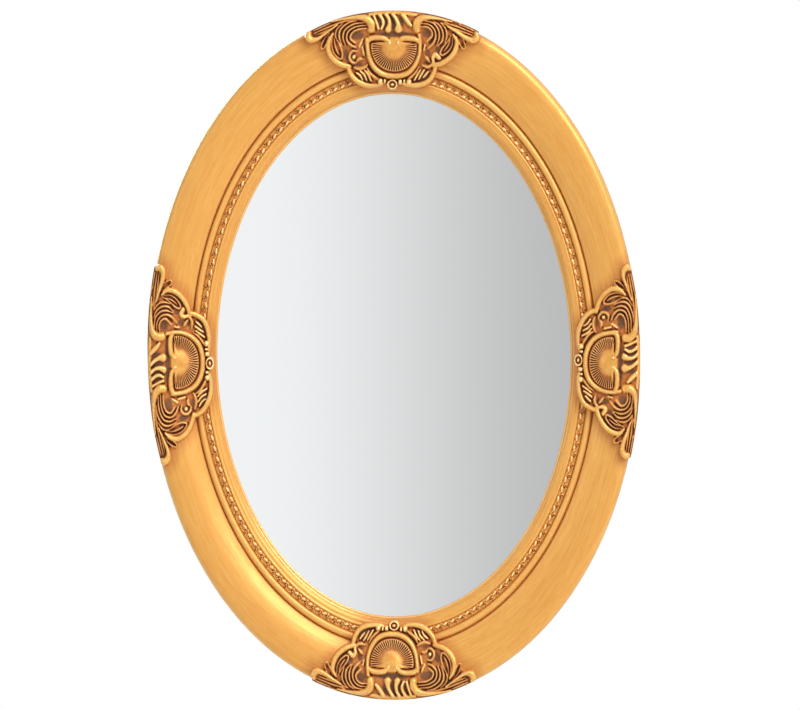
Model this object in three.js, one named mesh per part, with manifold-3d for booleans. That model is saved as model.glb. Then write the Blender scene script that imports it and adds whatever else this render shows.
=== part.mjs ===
// Oval wall mirror in a gilt moulded frame with four pressed shell ornaments.
// Millimetres, +Z up. The mirror faces -Y and its back lies in the wall plane Y = 0.
// The origin is the middle of the back.
import * as THREE from 'three';
import { mergeVertices } from 'three/addons/utils/BufferGeometryUtils.js';
import Module from 'manifold-3d';

const wasm = await Module();
wasm.setup();

// Driving sizes
const FRAME_WIDTH = 500;
const FRAME_HEIGHT = 700;
const SIGHT_WIDTH = 361;
const SIGHT_HEIGHT = 534;
const RING_STEPS = 56;
const CLEARANCE = 0.35;

// Rebate, glass, board: depths are measured forward from the wall
const REBATE_SHARE = 0.12;
const REBATE_DEPTH = 6.9;
const GLASS_THICKNESS = 3;
const BOARD_THICKNESS = REBATE_DEPTH - GLASS_THICKNESS - 2 * CLEARANCE;
const REBATE_PLAY = 0.5;

// The moulding's front, from the sight edge (share 0) to the outer edge (share 1):
// [share of the band's width, depth]. The band is wider at the top and bottom than at the sides.
const FRONT_PROFILE = [
  [0, 10.6],
  [0.03, 11.6],
  [0.06, 16.2],
  [0.11, 19.2],
  [0.13, 18.8],
  [0.155, 20.2],
  [0.172, 19.4],
  [0.266, 19.6],
  [0.285, 22.4],
  [0.315, 23.6],
  [0.345, 22.4],
  [0.37, 19.9],
  [0.39, 23.4],
  [0.5, 28.6],
  [0.65, 31.8],
  [0.84, 33.5],
  [0.93, 33],
  [0.985, 28.9],
  [1, 24.5],
];
const OUTER_BACK_SHARE = 0.975;

// The castings' back spans the cove, the patterned band and the groove from crest to crest
const CREST_PROFILE = [
  [0, 10.6],
  [0.03, 11.6],
  [0.06, 16.2],
  [0.11, 19.2],
  [0.155, 20.2],
  [0.285, 22.6],
  [0.315, 23.7],
  [0.39, 24.4],
  [0.5, 28.6],
  [0.65, 31.8],
  [0.84, 33.5],
  [0.93, 33],
  [0.985, 28.9],
  [1, 24.5],
];

// The ornaments' ground bridges the moulding's hollows: [share, depth]
const GROUND = [
  [0.03, 15.5],
  [0.1, 21.5],
  [0.2, 24],
  [0.3, 25.8],
  [0.4, 27.6],
  [0.5, 29.9],
  [0.65, 32.8],
  [0.84, 34.6],
  [0.95, 34.4],
  [1, 32.4],
  [1.04, 30.4],
];
const PLATE_THICKNESS = 1.6;
const PLATE_SKIRT = 9;
const LEAST_PLATE_DEPTH = 8;

// The ornament is drawn on a sheet: x runs clockwise along the frame from the ornament's middle,
// v runs outward across the band from the sight edge, both in millimetres on a 188 x 83.5 sheet.
const SHEET_HALF_LENGTH = 94;
const SHEET_HEIGHT = 83.5;

// Where each casting sits: the angle round the oval of its middle and of half its length, in degrees
const SITES = [
  { name: 'ornament_top', middle: 89.4, halfSpan: 21.5 },
  { name: 'ornament_right', middle: -1.6, halfSpan: 17 },
  { name: 'ornament_bottom', middle: 268.9, halfSpan: 20.3 },
  { name: 'ornament_left', middle: 181.2, halfSpan: 17.5 },
];

// Lower and upper edge of the casting on the sheet
const LOWER_EDGE = [
  [-94, 77],
  [-92, 70.5],
  [-85, 66.5],
  [-80, 60],
  [-76.6, 55],
  [-73.5, 45],
  [-66, 36.5],
  [-59, 32],
  [-56.5, 23],
  [-50, 14.5],
  [-41, 9],
  [-28, 6],
  [-12, 5.5],
  [0, 3.4],
  [11, 5.5],
  [28, 6.4],
  [42, 9.5],
  [51.5, 16],
  [56.5, 27],
  [62, 36],
  [70, 43],
  [75.5, 53],
  [80, 60],
  [86, 68],
  [92.5, 71],
  [94, 78],
];
const UPPER_EDGE = [
  [-94, 82],
  [-60, 83.6],
  [0, 83.4],
  [40, 84.2],
  [86, 85],
  [94, 83.5],
];

// How closely the sheet's surface follows the relief, in millimetres
const EDGE_SPACING = 7;
const RIM_SPACING = 7;
const RIDGE_SPACING = 6;
const LEAST_SPACING = 1.35;
const GROUND_SPACING = 9;
const LEAST_AREA = 0.4;
const LEAST_GAIN = 0.02;
const NUDGE = 1e-3;
const TURNING_ROUNDS = 5;

// Width and height left at a stroke's ends, and how flat its top is: 1 is a plain ridge
const RIM_SECTION = { taper: 0.6, shoulder: 1.6 };
const RIDGE_SECTION = { taper: 0.5, shoulder: 1 };
const LEAF_SECTION = { taper: 0.6, shoulder: 1 };

// Smooth scroll rims: points along the middle of the rim, width, height above the plate
const RIMS = [
  { path: [[-65, 70.5], [-72.5, 61], [-72, 50], [-64, 39], [-53, 33]], width: 5.8, height: 4 },
  { path: [[-56, 32], [-53.5, 23.5], [-44, 14], [-33, 9.8], [-20, 10.4]], width: 6.2, height: 4 },
  { path: [[69, 70.5], [72.6, 61], [70, 49], [62, 40], [52, 35]], width: 5.8, height: 4 },
  { path: [[53, 35], [53, 25], [45, 15], [34, 10.8], [21, 11.2]], width: 6.2, height: 4 },
  {
    path: [[-27, 58], [-29.5, 46], [-24.5, 29], [-10, 19.2], [10, 18.6], [26.5, 28], [32, 44], [29.5, 60]],
    width: 5.6,
    height: 4.8,
  },
  { path: [[-29, 56.3], [-18, 57], [-5, 53.6]], width: 5.6, height: 4.4 },
  { path: [[31, 56.5], [20, 56.8], [6.5, 53.8]], width: 5.6, height: 4.4 },
  { path: [[-61, 81.6], [-44, 81.2], [-27, 78], [-20.6, 69]], width: 5.6, height: 3.6 },
  { path: [[60, 81.5], [44, 81.4], [27, 77.5], [23, 70]], width: 5.6, height: 3.6 },
  { path: [[-57, 76.5], [-72, 71.8], [-86, 70.4], [-90, 76], [-88, 81]], width: 4.8, height: 3.4 },
  { path: [[57, 76.3], [72, 73.6], [86, 73.2], [90.5, 78], [89, 82]], width: 4.6, height: 3.4 },
];

// Narrow leaf ridges: the same three values
const RIDGES = [
  { path: [[-84, 78], [-58, 78.6], [-32, 76.2]], width: 3, height: 2 },
  { path: [[-83, 74.6], [-70, 75.2]], width: 2.6, height: 1.8 },
  { path: [[-69, 71.5], [-78.6, 62.6]], width: 5.4, height: 2.2 },
  { path: [[-28, 68.6], [-40, 67.6], [-46.4, 60], [-41.5, 54.4]], width: 3.2, height: 2.6 },
  { path: [[-29, 72], [-43, 71], [-51, 62], [-44.5, 51.6]], width: 3.2, height: 2.6 },
  { path: [[-33, 75], [-46, 74.6], [-54.6, 67.4], [-54.4, 60]], width: 2.8, height: 2.2 },
  { path: [[-48, 77.4], [-57, 73], [-60, 65], [-57, 56.5]], width: 3, height: 2.4 },
  { path: [[-64.5, 69], [-67.8, 59], [-66.6, 51], [-62.4, 44.6]], width: 3, height: 2.4 },
  { path: [[-62.4, 44.6], [-59, 51], [-60, 60], [-63.4, 67]], width: 3, height: 2.4 },
  { path: [[-41, 47.3], [-50.5, 44], [-50, 37.4], [-40, 37.6]], width: 3.8, height: 2.6 },
  { path: [[-47.5, 30.2], [-34, 28.4]], width: 4, height: 2.6 },
  { path: [[54, 80], [66, 77.8], [87, 77.8]], width: 3, height: 2 },
  { path: [[70, 72], [79.4, 62]], width: 5.4, height: 2.2 },
  { path: [[29, 69.6], [39.5, 69], [43, 61], [38.4, 56.2]], width: 3.2, height: 2.6 },
  { path: [[30, 73.4], [41, 72.6], [48, 62], [41.6, 49.8]], width: 3.2, height: 2.6 },
  { path: [[33, 76.8], [45, 75], [52.4, 67], [51.6, 59]], width: 2.8, height: 2.2 },
  { path: [[47, 78.4], [54.4, 74], [57, 66], [52, 55.6]], width: 3, height: 2.4 },
  { path: [[63.6, 70.5], [60, 60], [56, 53], [56.4, 46.8]], width: 3, height: 2.4 },
  { path: [[56.4, 46.8], [62.6, 50], [66.4, 59], [65, 68]], width: 3, height: 2.4 },
  { path: [[54, 45], [48, 40.5], [45, 33.6], [37, 31]], width: 4.4, height: 3 },
  { path: [[38.6, 40.6], [45.4, 35.8]], width: 3.6, height: 2.6 },
];

// Short leaves: the crest that hangs over the shell, and the small leaves in the lower corners
const LEAVES = [
  { path: [[-20.5, 79], [-14.5, 67]], width: 4.4, height: 3 },
  { path: [[-13, 80], [-10, 67.5]], width: 4.2, height: 3 },
  { path: [[-6.5, 80], [-5.4, 64.5]], width: 5, height: 3.2 },
  { path: [[0, 80], [8, 64]], width: 6.5, height: 3.2 },
  { path: [[11, 80.5], [18.5, 70.5]], width: 5, height: 3 },
  { path: [[-38, 19.5], [-34.6, 14.6]], width: 3.4, height: 2 },
  { path: [[-31, 18.5], [-27.5, 13.6]], width: 3.4, height: 2 },
  { path: [[29, 20.5], [30.5, 14.6]], width: 3.4, height: 2 },
  { path: [[37, 23], [37.6, 16.4]], width: 3.4, height: 2 },
];

// Round knobs: centre, radii along and across the frame, height above the plate
const KNOBS = [
  { at: [-22.8, 66.3], radii: [6, 5.4], height: 5 },
  { at: [25.3, 66], radii: [6.2, 5.6], height: 5 },
  { at: [-17.4, 12.6], radii: [3.4, 3.4], height: 4.2 },
  { at: [-10.8, 11.6], radii: [2.8, 2.6], height: 3 },
  { at: [12, 11.6], radii: [3.8, 2.8], height: 3.4 },
  { at: [20.5, 11.6], radii: [3, 3.2], height: 4.2 },
  { at: [1, 8.6], radii: [2.2, 2.2], height: 3.4 },
];
const ROSETTE = { at: [1, 8.6], radius: 4.4, width: 3, height: 3, steps: 8 };

// Fluted shell field inside the cartouche
const SHELL = {
  centre: [2, 44],
  field: [27.8, 23.6],
  rimShare: 0.86,
  flutes: 30,
  from: 24,
  to: -204,
  domeHeight: 3.6,
  crestHeight: 1.6,
  valleyHeight: -0.2,
};

// Hanger on the back at the top: a toothed strap nailed in a shallow recess
const HANGER = { length: 46, width: 11, thickness: 1, tooth: 3.2, depth: 2 };
const RECESS = { depth: 3.4, margin: 1.6 };
const NAIL = { spread: 19, headRadius: 2.1, headHeight: 0.9, shankRadius: 0.9, length: 13, sides: 9 };

// Finishes
const GOLD = new THREE.MeshStandardMaterial({ color: 0xe2a052, roughness: 0.42, metalness: 0.35 });
const DARK_GOLD = new THREE.MeshStandardMaterial({ color: 0xd9923f, roughness: 0.45, metalness: 0.35 });
const MIRROR = new THREE.MeshStandardMaterial({ color: 0xe6e8e9, roughness: 0.03, metalness: 1 });
const BOARD = new THREE.MeshStandardMaterial({ color: 0x8a6a48, roughness: 0.85, metalness: 0 });
const STEEL = new THREE.MeshStandardMaterial({ color: 0xc7b27a, roughness: 0.4, metalness: 0.9 });

const radians = THREE.MathUtils.degToRad;
const lerp = THREE.MathUtils.lerp;

// Value of a list of [key, value] pairs at any key, in straight lines between the pairs
function valueAt(pairs, key) {
  if (key <= pairs[0][0]) return pairs[0][1];
  for (let i = 1; i < pairs.length; i += 1) {
    const [k0, v0] = pairs[i - 1];
    const [k1, v1] = pairs[i];
    if (key <= k1) return lerp(v0, v1, (key - k0) / (k1 - k0));
  }
  return pairs[pairs.length - 1][1];
}

// A point of the frame: angle round the oval, share across the band, depth in front of the wall
function onOval(angle, share, depth) {
  const halfX = lerp(SIGHT_WIDTH, FRAME_WIDTH, share) / 2;
  const halfZ = lerp(SIGHT_HEIGHT, FRAME_HEIGHT, share) / 2;
  return new THREE.Vector3(halfX * Math.cos(angle), -depth, halfZ * Math.sin(angle));
}

// A closed surface through a row of equal rings of points, either closed on itself or capped
function loft(rings, closed) {
  const points = rings.flat();
  const count = rings[0].length;
  const faces = [];
  const last = closed ? rings.length : rings.length - 1;
  for (let i = 0; i < last; i += 1) {
    const here = i * count;
    const next = ((i + 1) % rings.length) * count;
    for (let j = 0; j < count; j += 1) {
      const k = (j + 1) % count;
      faces.push(here + j, next + j, next + k, here + j, next + k, here + k);
    }
  }
  if (!closed) {
    const end = (rings.length - 1) * count;
    for (let j = 1; j < count - 1; j += 1) {
      faces.push(0, j, j + 1, end, end + j + 1, end + j);
    }
  }
  const geometry = new THREE.BufferGeometry().setFromPoints(points);
  geometry.setIndex(faces);
  return geometry;
}

// A closed geometry as a solid, with its faces turned outward
function solidOf(geometry) {
  const bare = geometry.clone();
  bare.deleteAttribute('normal');
  bare.deleteAttribute('uv');
  const merged = mergeVertices(bare, 1e-4);
  const corners = merged.attributes.position.array;
  const kept = [];
  const index = merged.index.array;
  for (let i = 0; i < index.length; i += 3) {
    const [a, b, c] = index.slice(i, i + 3);
    if (a !== b && b !== c && c !== a) kept.push(a, b, c);
  }
  const corner = (i) => new THREE.Vector3().fromArray(corners, 3 * i);
  let volume = 0;
  for (let i = 0; i < kept.length; i += 3) {
    volume += corner(kept[i]).dot(corner(kept[i + 1]).cross(corner(kept[i + 2])));
  }
  if (volume < 0) kept.reverse();
  return new wasm.Manifold(new wasm.Mesh({
    numProp: 3,
    vertProperties: new Float32Array(corners),
    triVerts: new Uint32Array(kept),
  }));
}

// A solid as a named mesh
function meshOf(name, solid, material) {
  const made = solid.getMesh();
  const geometry = new THREE.BufferGeometry();
  geometry.setAttribute('position', new THREE.BufferAttribute(new Float32Array(made.vertProperties), 3));
  geometry.setIndex(new THREE.BufferAttribute(new Uint32Array(made.triVerts), 1));
  geometry.computeVertexNormals();
  const mesh = new THREE.Mesh(geometry, material);
  mesh.name = name;
  return mesh;
}

// A ring with the moulding's back and a given front, grown outward by a margin
function ring(front, margin) {
  const profile = [
    [REBATE_SHARE, 0],
    [REBATE_SHARE, REBATE_DEPTH],
    [0, REBATE_DEPTH],
    ...front,
    [OUTER_BACK_SHARE, 0],
  ];
  const bandWidth = (FRAME_HEIGHT - SIGHT_HEIGHT) / 2;
  const grown = profile.map(([share, depth], i) => {
    const before = profile[(i + profile.length - 1) % profile.length];
    const after = profile[(i + 1) % profile.length];
    const run = (after[0] - before[0]) * bandWidth;
    const rise = after[1] - before[1];
    const length = Math.hypot(run, rise);
    return [share - (margin * rise) / length / bandWidth, depth + (margin * run) / length];
  });
  const rings = [];
  for (let i = 0; i < RING_STEPS; i += 1) {
    const angle = (2 * Math.PI * i) / RING_STEPS;
    rings.push(grown.map(([share, depth]) => onOval(angle, share, depth)));
  }
  return solidOf(loft(rings, true));
}

// An oval sheet in the rebate, from one depth to another
function ovalSheet(from, to) {
  const play = (2 * REBATE_PLAY) / (FRAME_WIDTH - SIGHT_WIDTH);
  const rims = [from, to].map((depth) => {
    const rim = [];
    for (let i = 0; i < RING_STEPS; i += 1) {
      rim.push(onOval((2 * Math.PI * i) / RING_STEPS, REBATE_SHARE - play, depth));
    }
    return rim;
  });
  return solidOf(loft(rims, false));
}

// The ground of the ornaments at a height on the sheet
function plateTop(v) {
  return valueAt(GROUND, v / SHEET_HEIGHT) + PLATE_THICKNESS;
}

// A point of an ornament: place on the sheet, height above its plate
function onSite(site, x, v, height) {
  const angle = radians(site.middle - (x / SHEET_HALF_LENGTH) * site.halfSpan);
  return onOval(angle, v / SHEET_HEIGHT, plateTop(v) + height);
}

// A stroke as stations along its curve; its ends taper
function stationsOf({ path, width, height }, step, taper) {
  const curve = new THREE.CatmullRomCurve3(path.map(([x, v]) => new THREE.Vector3(x, v, 0)));
  const steps = Math.max(2, Math.round(curve.getLength() / step));
  return curve.getSpacedPoints(steps).map((point, i) => {
    const t = i / steps;
    const along = curve.getTangentAt(t);
    const fullness = Math.min(1, lerp(taper, 1, Math.min(t, 1 - t) * 4));
    return {
      x: point.x,
      v: point.y,
      across: [-along.y, along.x],
      half: (width * fullness) / 2,
      height: height * fullness,
    };
  });
}

function strokesOf(list, step, { taper, shoulder }) {
  return list.map((one) => ({ stations: stationsOf(one, step, taper), shoulder }));
}

const STROKES = [
  ...strokesOf(RIMS, RIM_SPACING, RIM_SECTION),
  ...strokesOf(RIDGES, RIDGE_SPACING, RIDGE_SECTION),
  ...strokesOf(LEAVES, RIDGE_SPACING, LEAF_SECTION),
];

// Height of one stroke over a place: it falls from the crest to the feet, rims with a flatter top
function strokeHeight({ stations, shoulder }, x, v) {
  let best = 0;
  for (let i = 1; i < stations.length; i += 1) {
    const a = stations[i - 1];
    const b = stations[i];
    const run = [b.x - a.x, b.v - a.v];
    const along = ((x - a.x) * run[0] + (v - a.v) * run[1]) / (run[0] ** 2 + run[1] ** 2);
    const t = THREE.MathUtils.clamp(along, 0, 1);
    const away = Math.hypot(x - a.x - run[0] * t, v - a.v - run[1] * t);
    const side = 1 - away / lerp(a.half, b.half, t);
    best = Math.max(best, lerp(a.height, b.height, t) * Math.min(1, shoulder * side));
  }
  return best;
}

function knobHeight({ at, radii, height }, x, v) {
  const reach = Math.hypot((x - at[0]) / radii[0], (v - at[1]) / radii[1]);
  return reach < 1 ? height * Math.sqrt(1 - reach ** 2) : 0;
}

function rosetteHeight(x, v) {
  const away = Math.abs(Math.hypot(x - ROSETTE.at[0], v - ROSETTE.at[1]) - ROSETTE.radius);
  return ROSETTE.height * Math.max(0, 1 - (2 * away) / ROSETTE.width);
}

// How far out in the shell's field a place lies: length 1 is the field's edge
function shellReach(x, v) {
  const [shellX, shellV] = SHELL.centre;
  return new THREE.Vector2((x - shellX) / SHELL.field[0], (v - shellV) / SHELL.field[1]);
}

// The shell falls from a domed middle to alternate crests and valleys at its edge
function shellHeight(x, v) {
  const out = shellReach(x, v);
  const reach = out.length();
  if (reach > 1) return 0;
  const turn = THREE.MathUtils.radToDeg(Math.atan2(out.y, out.x));
  const stretch = THREE.MathUtils.euclideanModulo(SHELL.from - turn, 360) / (SHELL.from - SHELL.to);
  const wave = Math.abs(((stretch * SHELL.flutes) % 1) * 2 - 1);
  const edge = lerp(SHELL.crestHeight, SHELL.valleyHeight, stretch < 1 ? wave : 1);
  return lerp(SHELL.domeHeight, edge, reach);
}

// Height of the casting above its plate: the highest of its forms at that place
function relief(x, v) {
  const heights = STROKES.map((one) => strokeHeight(one, x, v));
  heights.push(...KNOBS.map((one) => knobHeight(one, x, v)));
  return Math.max(rosetteHeight(x, v), shellHeight(x, v), ...heights);
}

// Places of the sheet where the surface turns: crests first, then feet, then bare ground
function reliefPlaces() {
  const crests = [];
  const feet = [];
  const [shellX, shellV] = SHELL.centre;
  crests.push([shellX, shellV]);
  for (let i = 0; i <= 2 * SHELL.flutes; i += 1) {
    const turn = radians(lerp(SHELL.from, SHELL.to, i / (2 * SHELL.flutes)));
    crests.push([shellX + SHELL.rimShare * SHELL.field[0] * Math.cos(turn),
      shellV + SHELL.rimShare * SHELL.field[1] * Math.sin(turn)]);
  }
  const around = (at, radii, count, list) => {
    for (let i = 0; i < count; i += 1) {
      const turn = (2 * Math.PI * i) / count;
      list.push([at[0] + radii[0] * Math.cos(turn), at[1] + radii[1] * Math.sin(turn)]);
    }
  };
  for (const { at, radii } of KNOBS) {
    crests.push(at);
    around(at, radii.map((r) => 0.75 * r), 5, crests);
    around(at, radii.map((r) => 1.1 * r), 6, feet);
  }
  around(ROSETTE.at, [ROSETTE.radius, ROSETTE.radius], ROSETTE.steps, crests);
  for (const { stations, shoulder } of STROKES) {
    for (const { x, v, across, half } of stations) {
      const top = shoulder > 1 ? 1 - 1 / shoulder : 0;
      for (const side of top ? [-top, top] : [0]) {
        crests.push([x + across[0] * half * side, v + across[1] * half * side]);
      }
      for (const side of [-1, 1]) {
        feet.push([x + across[0] * half * side, v + across[1] * half * side]);
      }
    }
  }
  return [...crests, ...feet];
}

// The casting's outline, as points at even steps along its lower and upper edge
function outlinePlaces() {
  const along = (edge) => {
    const path = new THREE.CurvePath();
    for (let i = 1; i < edge.length; i += 1) {
      path.add(new THREE.LineCurve(new THREE.Vector2(...edge[i - 1]), new THREE.Vector2(...edge[i])));
    }
    return path.getSpacedPoints(Math.round(path.getLength() / EDGE_SPACING)).map(({ x, y }) => [x, y]);
  };
  return [...along(LOWER_EDGE), ...along(UPPER_EDGE).reverse()];
}

function inside(polygon, [x, v]) {
  let odd = false;
  polygon.forEach(([x1, v1], i) => {
    const [x0, v0] = polygon[(i + polygon.length - 1) % polygon.length];
    if ((v1 > v) !== (v0 > v) && x < ((x0 - x1) * (v - v1)) / (v0 - v1) + x1) odd = !odd;
  });
  return odd;
}

// The circle through three places, as its centre and squared radius
function circleThrough(a, b, c) {
  const d = 2 * (a[0] * (b[1] - c[1]) + b[0] * (c[1] - a[1]) + c[0] * (a[1] - b[1]));
  const [sa, sb, sc] = [a, b, c].map(([x, v]) => x * x + v * v);
  const x = (sa * (b[1] - c[1]) + sb * (c[1] - a[1]) + sc * (a[1] - b[1])) / d;
  const v = (sa * (c[0] - b[0]) + sb * (a[0] - c[0]) + sc * (b[0] - a[0])) / d;
  return [x, v, (a[0] - x) ** 2 + (a[1] - v) ** 2];
}

// Delaunay triangles over a set of places, one place added at a time
function triangulate(places) {
  const far = 4000;
  const all = [...places, [-far, -far], [far, -far], [0, far]];
  const n = places.length;
  const entry = (i, j, k) => ({ corners: [i, j, k], circle: circleThrough(all[i], all[j], all[k]) });
  let faces = [entry(n, n + 1, n + 2)];
  places.forEach(([x, v], p) => {
    const edges = new Map();
    faces = faces.filter(({ corners, circle }) => {
      if ((x - circle[0]) ** 2 + (v - circle[1]) ** 2 > circle[2]) return true;
      corners.forEach((from, i) => {
        const to = corners[(i + 1) % 3];
        if (!edges.delete(`${to} ${from}`)) edges.set(`${from} ${to}`, [from, to]);
      });
      return false;
    });
    edges.forEach(([from, to]) => faces.push(entry(from, to, p)));
  });
  return faces.map(({ corners }) => corners).filter((corners) => corners.every((i) => i < n));
}

// Twice the signed area of a triangle of places
function areaOf(a, b, c) {
  return (b[0] - a[0]) * (c[1] - a[1]) - (c[0] - a[0]) * (b[1] - a[1]);
}

// One round of turning shared sides: the diagonal that follows the relief more closely is kept
function followRelief(places, heights, faces) {
  const sides = new Map();
  faces.forEach((corners, face) => corners.forEach((from, i) => {
    sides.set(`${from} ${corners[(i + 1) % 3]}`, { face, apex: corners[(i + 2) % 3] });
  }));
  const error = (i, j) => {
    const [x, v] = [0, 1].map((k) => (places[i][k] + places[j][k]) / 2);
    return Math.abs(relief(x, v) - (heights[i] + heights[j]) / 2);
  };
  const turned = new Set();
  sides.forEach(({ face, apex }, key) => {
    const [from, to] = key.split(' ').map(Number);
    const other = sides.get(`${to} ${from}`);
    if (from > to || !other || turned.has(face) || turned.has(other.face)) return;
    const first = [apex, from, other.apex];
    const second = [apex, other.apex, to];
    const convex = [first, second].every((corners) => areaOf(...corners.map((i) => places[i])) > LEAST_AREA);
    if (!convex || error(apex, other.apex) > error(from, to) - LEAST_GAIN) return;
    faces[face] = first;
    faces[other.face] = second;
    turned.add(face);
    turned.add(other.face);
  });
}

// The sheet's places and triangles, drawn once and used by all four castings
function drawSheet() {
  const outline = outlinePlaces();
  const places = [...outline];
  const room = (spot, least) => places.every(([x, v]) => Math.hypot(spot[0] - x, spot[1] - v) > least);
  for (const spot of reliefPlaces()) {
    if (inside(outline, spot) && room(spot, LEAST_SPACING)) places.push(spot);
  }
  for (let x = -SHEET_HALF_LENGTH; x < SHEET_HALF_LENGTH; x += GROUND_SPACING) {
    for (let v = 0; v < SHEET_HEIGHT; v += GROUND_SPACING) {
      const bare = shellReach(x, v).length() > 1;
      if (bare && inside(outline, [x, v]) && room([x, v], GROUND_SPACING / 2)) places.push([x, v]);
    }
  }
  const nudged = places.map(([x, v], i) => [x + NUDGE * Math.sin(7 * i), v + NUDGE * Math.cos(5 * i)]);
  const middle = (corners) => [0, 1].map((k) => (nudged[corners[0]][k] + nudged[corners[1]][k]
    + nudged[corners[2]][k]) / 3);
  const faces = triangulate(nudged)
    .filter((corners) => inside(outline, middle(corners)))
    .map(([a, b, c]) => (areaOf(nudged[a], nudged[b], nudged[c]) > 0 ? [a, b, c] : [a, c, b]));
  const heights = nudged.map(([x, v]) => relief(x, v));
  for (let round = 0; round < TURNING_ROUNDS; round += 1) followRelief(nudged, heights, faces);
  return { places: nudged, faces, heights };
}

// One casting: the sheet's relief over a skirt, cut to lie on the moulding
function ornament(site, sheet, cutter) {
  const { places, faces, heights } = sheet;
  const n = places.length;
  const top = places.map(([x, v], i) => onSite(site, x, v, heights[i]));
  const bottom = places.map(([x, v]) => {
    const skirt = Math.min(PLATE_SKIRT, plateTop(v) - LEAST_PLATE_DEPTH);
    return onSite(site, x, v, -skirt);
  });
  const index = [];
  const border = new Map();
  for (const [a, b, c] of faces) {
    index.push(a, b, c, n + a, n + c, n + b);
    for (const [from, to] of [[a, b], [b, c], [c, a]]) {
      if (!border.delete(`${to} ${from}`)) border.set(`${from} ${to}`, [from, to]);
    }
  }
  border.forEach(([from, to]) => index.push(to, from, n + from, to, n + from, n + to));
  const geometry = new THREE.BufferGeometry().setFromPoints([...top, ...bottom]);
  geometry.setIndex(index);
  return solidOf(geometry).subtract(cutter);
}

const HANGER_HEIGHT = (SIGHT_HEIGHT + FRAME_HEIGHT) / 4;
const HANGER_BACK = RECESS.depth - CLEARANCE - HANGER.thickness;

// The hanger: a strap whose lower edge is toothed along its middle half
function hanger() {
  const half = HANGER.length / 2;
  const shape = new THREE.Shape();
  shape.moveTo(half, 0);
  shape.lineTo(half, HANGER.width);
  shape.lineTo(-half, HANGER.width);
  shape.lineTo(-half, 0);
  for (let x = -half / 2; x < half / 2; x += HANGER.tooth) {
    shape.lineTo(x, 0);
    shape.lineTo(x + HANGER.tooth / 2, HANGER.depth);
  }
  shape.lineTo(half / 2, 0);
  const strap = new THREE.ExtrudeGeometry(shape, { depth: HANGER.thickness, bevelEnabled: false });
  strap.rotateX(Math.PI / 2);
  strap.translate(0, -HANGER_BACK, HANGER_HEIGHT - HANGER.width / 2);
  return solidOf(strap);
}

function hangerRecess() {
  const { depth, margin } = RECESS;
  const box = new THREE.BoxGeometry(HANGER.length + 2 * margin, 2 * depth, HANGER.width + 2 * margin);
  box.translate(0, 0, HANGER_HEIGHT);
  return solidOf(box);
}

// A round-head nail through the hanger; grown by a margin it cuts the nail's hole
function nail(x, margin) {
  const outline = [
    [0, 0],
    [NAIL.headRadius, 0],
    [NAIL.headRadius, NAIL.headHeight],
    [NAIL.shankRadius + margin, NAIL.headHeight],
    [NAIL.shankRadius + margin, NAIL.length + margin],
    [0, NAIL.length + margin],
  ];
  const turned = new THREE.LatheGeometry(outline.map(([r, y]) => new THREE.Vector2(r, y)), NAIL.sides);
  turned.rotateZ(Math.PI);
  turned.translate(x, CLEARANCE + NAIL.headHeight - HANGER_BACK, HANGER_HEIGHT);
  return solidOf(turned);
}

const cutter = ring(CREST_PROFILE, CLEARANCE);
const group = new THREE.Group();

const holes = [-NAIL.spread, NAIL.spread].map((x) => nail(x, CLEARANCE));
const drilled = holes.reduce((solid, hole) => solid.subtract(hole), hanger());
const recessed = ring(FRONT_PROFILE, 0).subtract(hangerRecess());
const moulding = holes.reduce((solid, hole) => solid.subtract(hole), recessed);
group.add(meshOf('frame_moulding', moulding, GOLD));

const sheet = drawSheet();
for (const site of SITES) {
  group.add(meshOf(site.name, ornament(site, sheet, cutter), DARK_GOLD));
}

const glassBack = BOARD_THICKNESS + CLEARANCE;
group.add(meshOf('mirror_glass', ovalSheet(glassBack, glassBack + GLASS_THICKNESS), MIRROR));
group.add(meshOf('backing_board', ovalSheet(0, BOARD_THICKNESS), BOARD));

group.add(meshOf('sawtooth_hanger', drilled, STEEL));
group.add(meshOf('hanger_nail_left', nail(-NAIL.spread, 0), STEEL));
group.add(meshOf('hanger_nail_right', nail(NAIL.spread, 0), STEEL));

export default group;
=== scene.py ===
"""Oval wall mirror in a gilt moulded frame with four pressed shell ornaments.

The object's sizes are in millimetres and become metres where a mesh is made. The mirror faces -Y, its back
lies in the wall plane Y = 0, the origin is the middle of the back and +Z is up.
"""
import itertools
import math

import bpy
import numpy as np
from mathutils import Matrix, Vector


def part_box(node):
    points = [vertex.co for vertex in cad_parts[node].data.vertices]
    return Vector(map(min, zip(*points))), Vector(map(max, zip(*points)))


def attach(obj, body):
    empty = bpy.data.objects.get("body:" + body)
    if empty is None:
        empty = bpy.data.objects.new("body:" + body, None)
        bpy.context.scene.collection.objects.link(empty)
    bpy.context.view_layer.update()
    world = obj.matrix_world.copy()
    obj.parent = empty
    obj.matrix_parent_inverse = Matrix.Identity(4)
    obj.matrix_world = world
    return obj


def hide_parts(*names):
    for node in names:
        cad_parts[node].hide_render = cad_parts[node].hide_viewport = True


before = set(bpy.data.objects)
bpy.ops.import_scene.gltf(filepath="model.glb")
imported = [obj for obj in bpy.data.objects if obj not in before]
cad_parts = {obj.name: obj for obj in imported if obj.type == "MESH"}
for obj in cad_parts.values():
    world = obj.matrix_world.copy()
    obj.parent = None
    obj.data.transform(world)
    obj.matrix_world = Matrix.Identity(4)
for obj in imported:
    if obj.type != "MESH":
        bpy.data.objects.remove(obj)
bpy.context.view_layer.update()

TO_METRES = 0.001
TO_MILLIMETRES = 1000

# The oval frame: width and height at the outer edge and at the sight edge
FRAME_WIDTH, FRAME_HEIGHT = 500.0, 700.0
SIGHT_WIDTH, SIGHT_HEIGHT = 361.0, 534.0

# The rebate for glass and board, and its corner's bevel as share of the band and depth
REBATE_SHARE = 0.12
REBATE_DEPTH = 6.9
REBATE_BEVEL = (0.004, 0.3)

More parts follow.
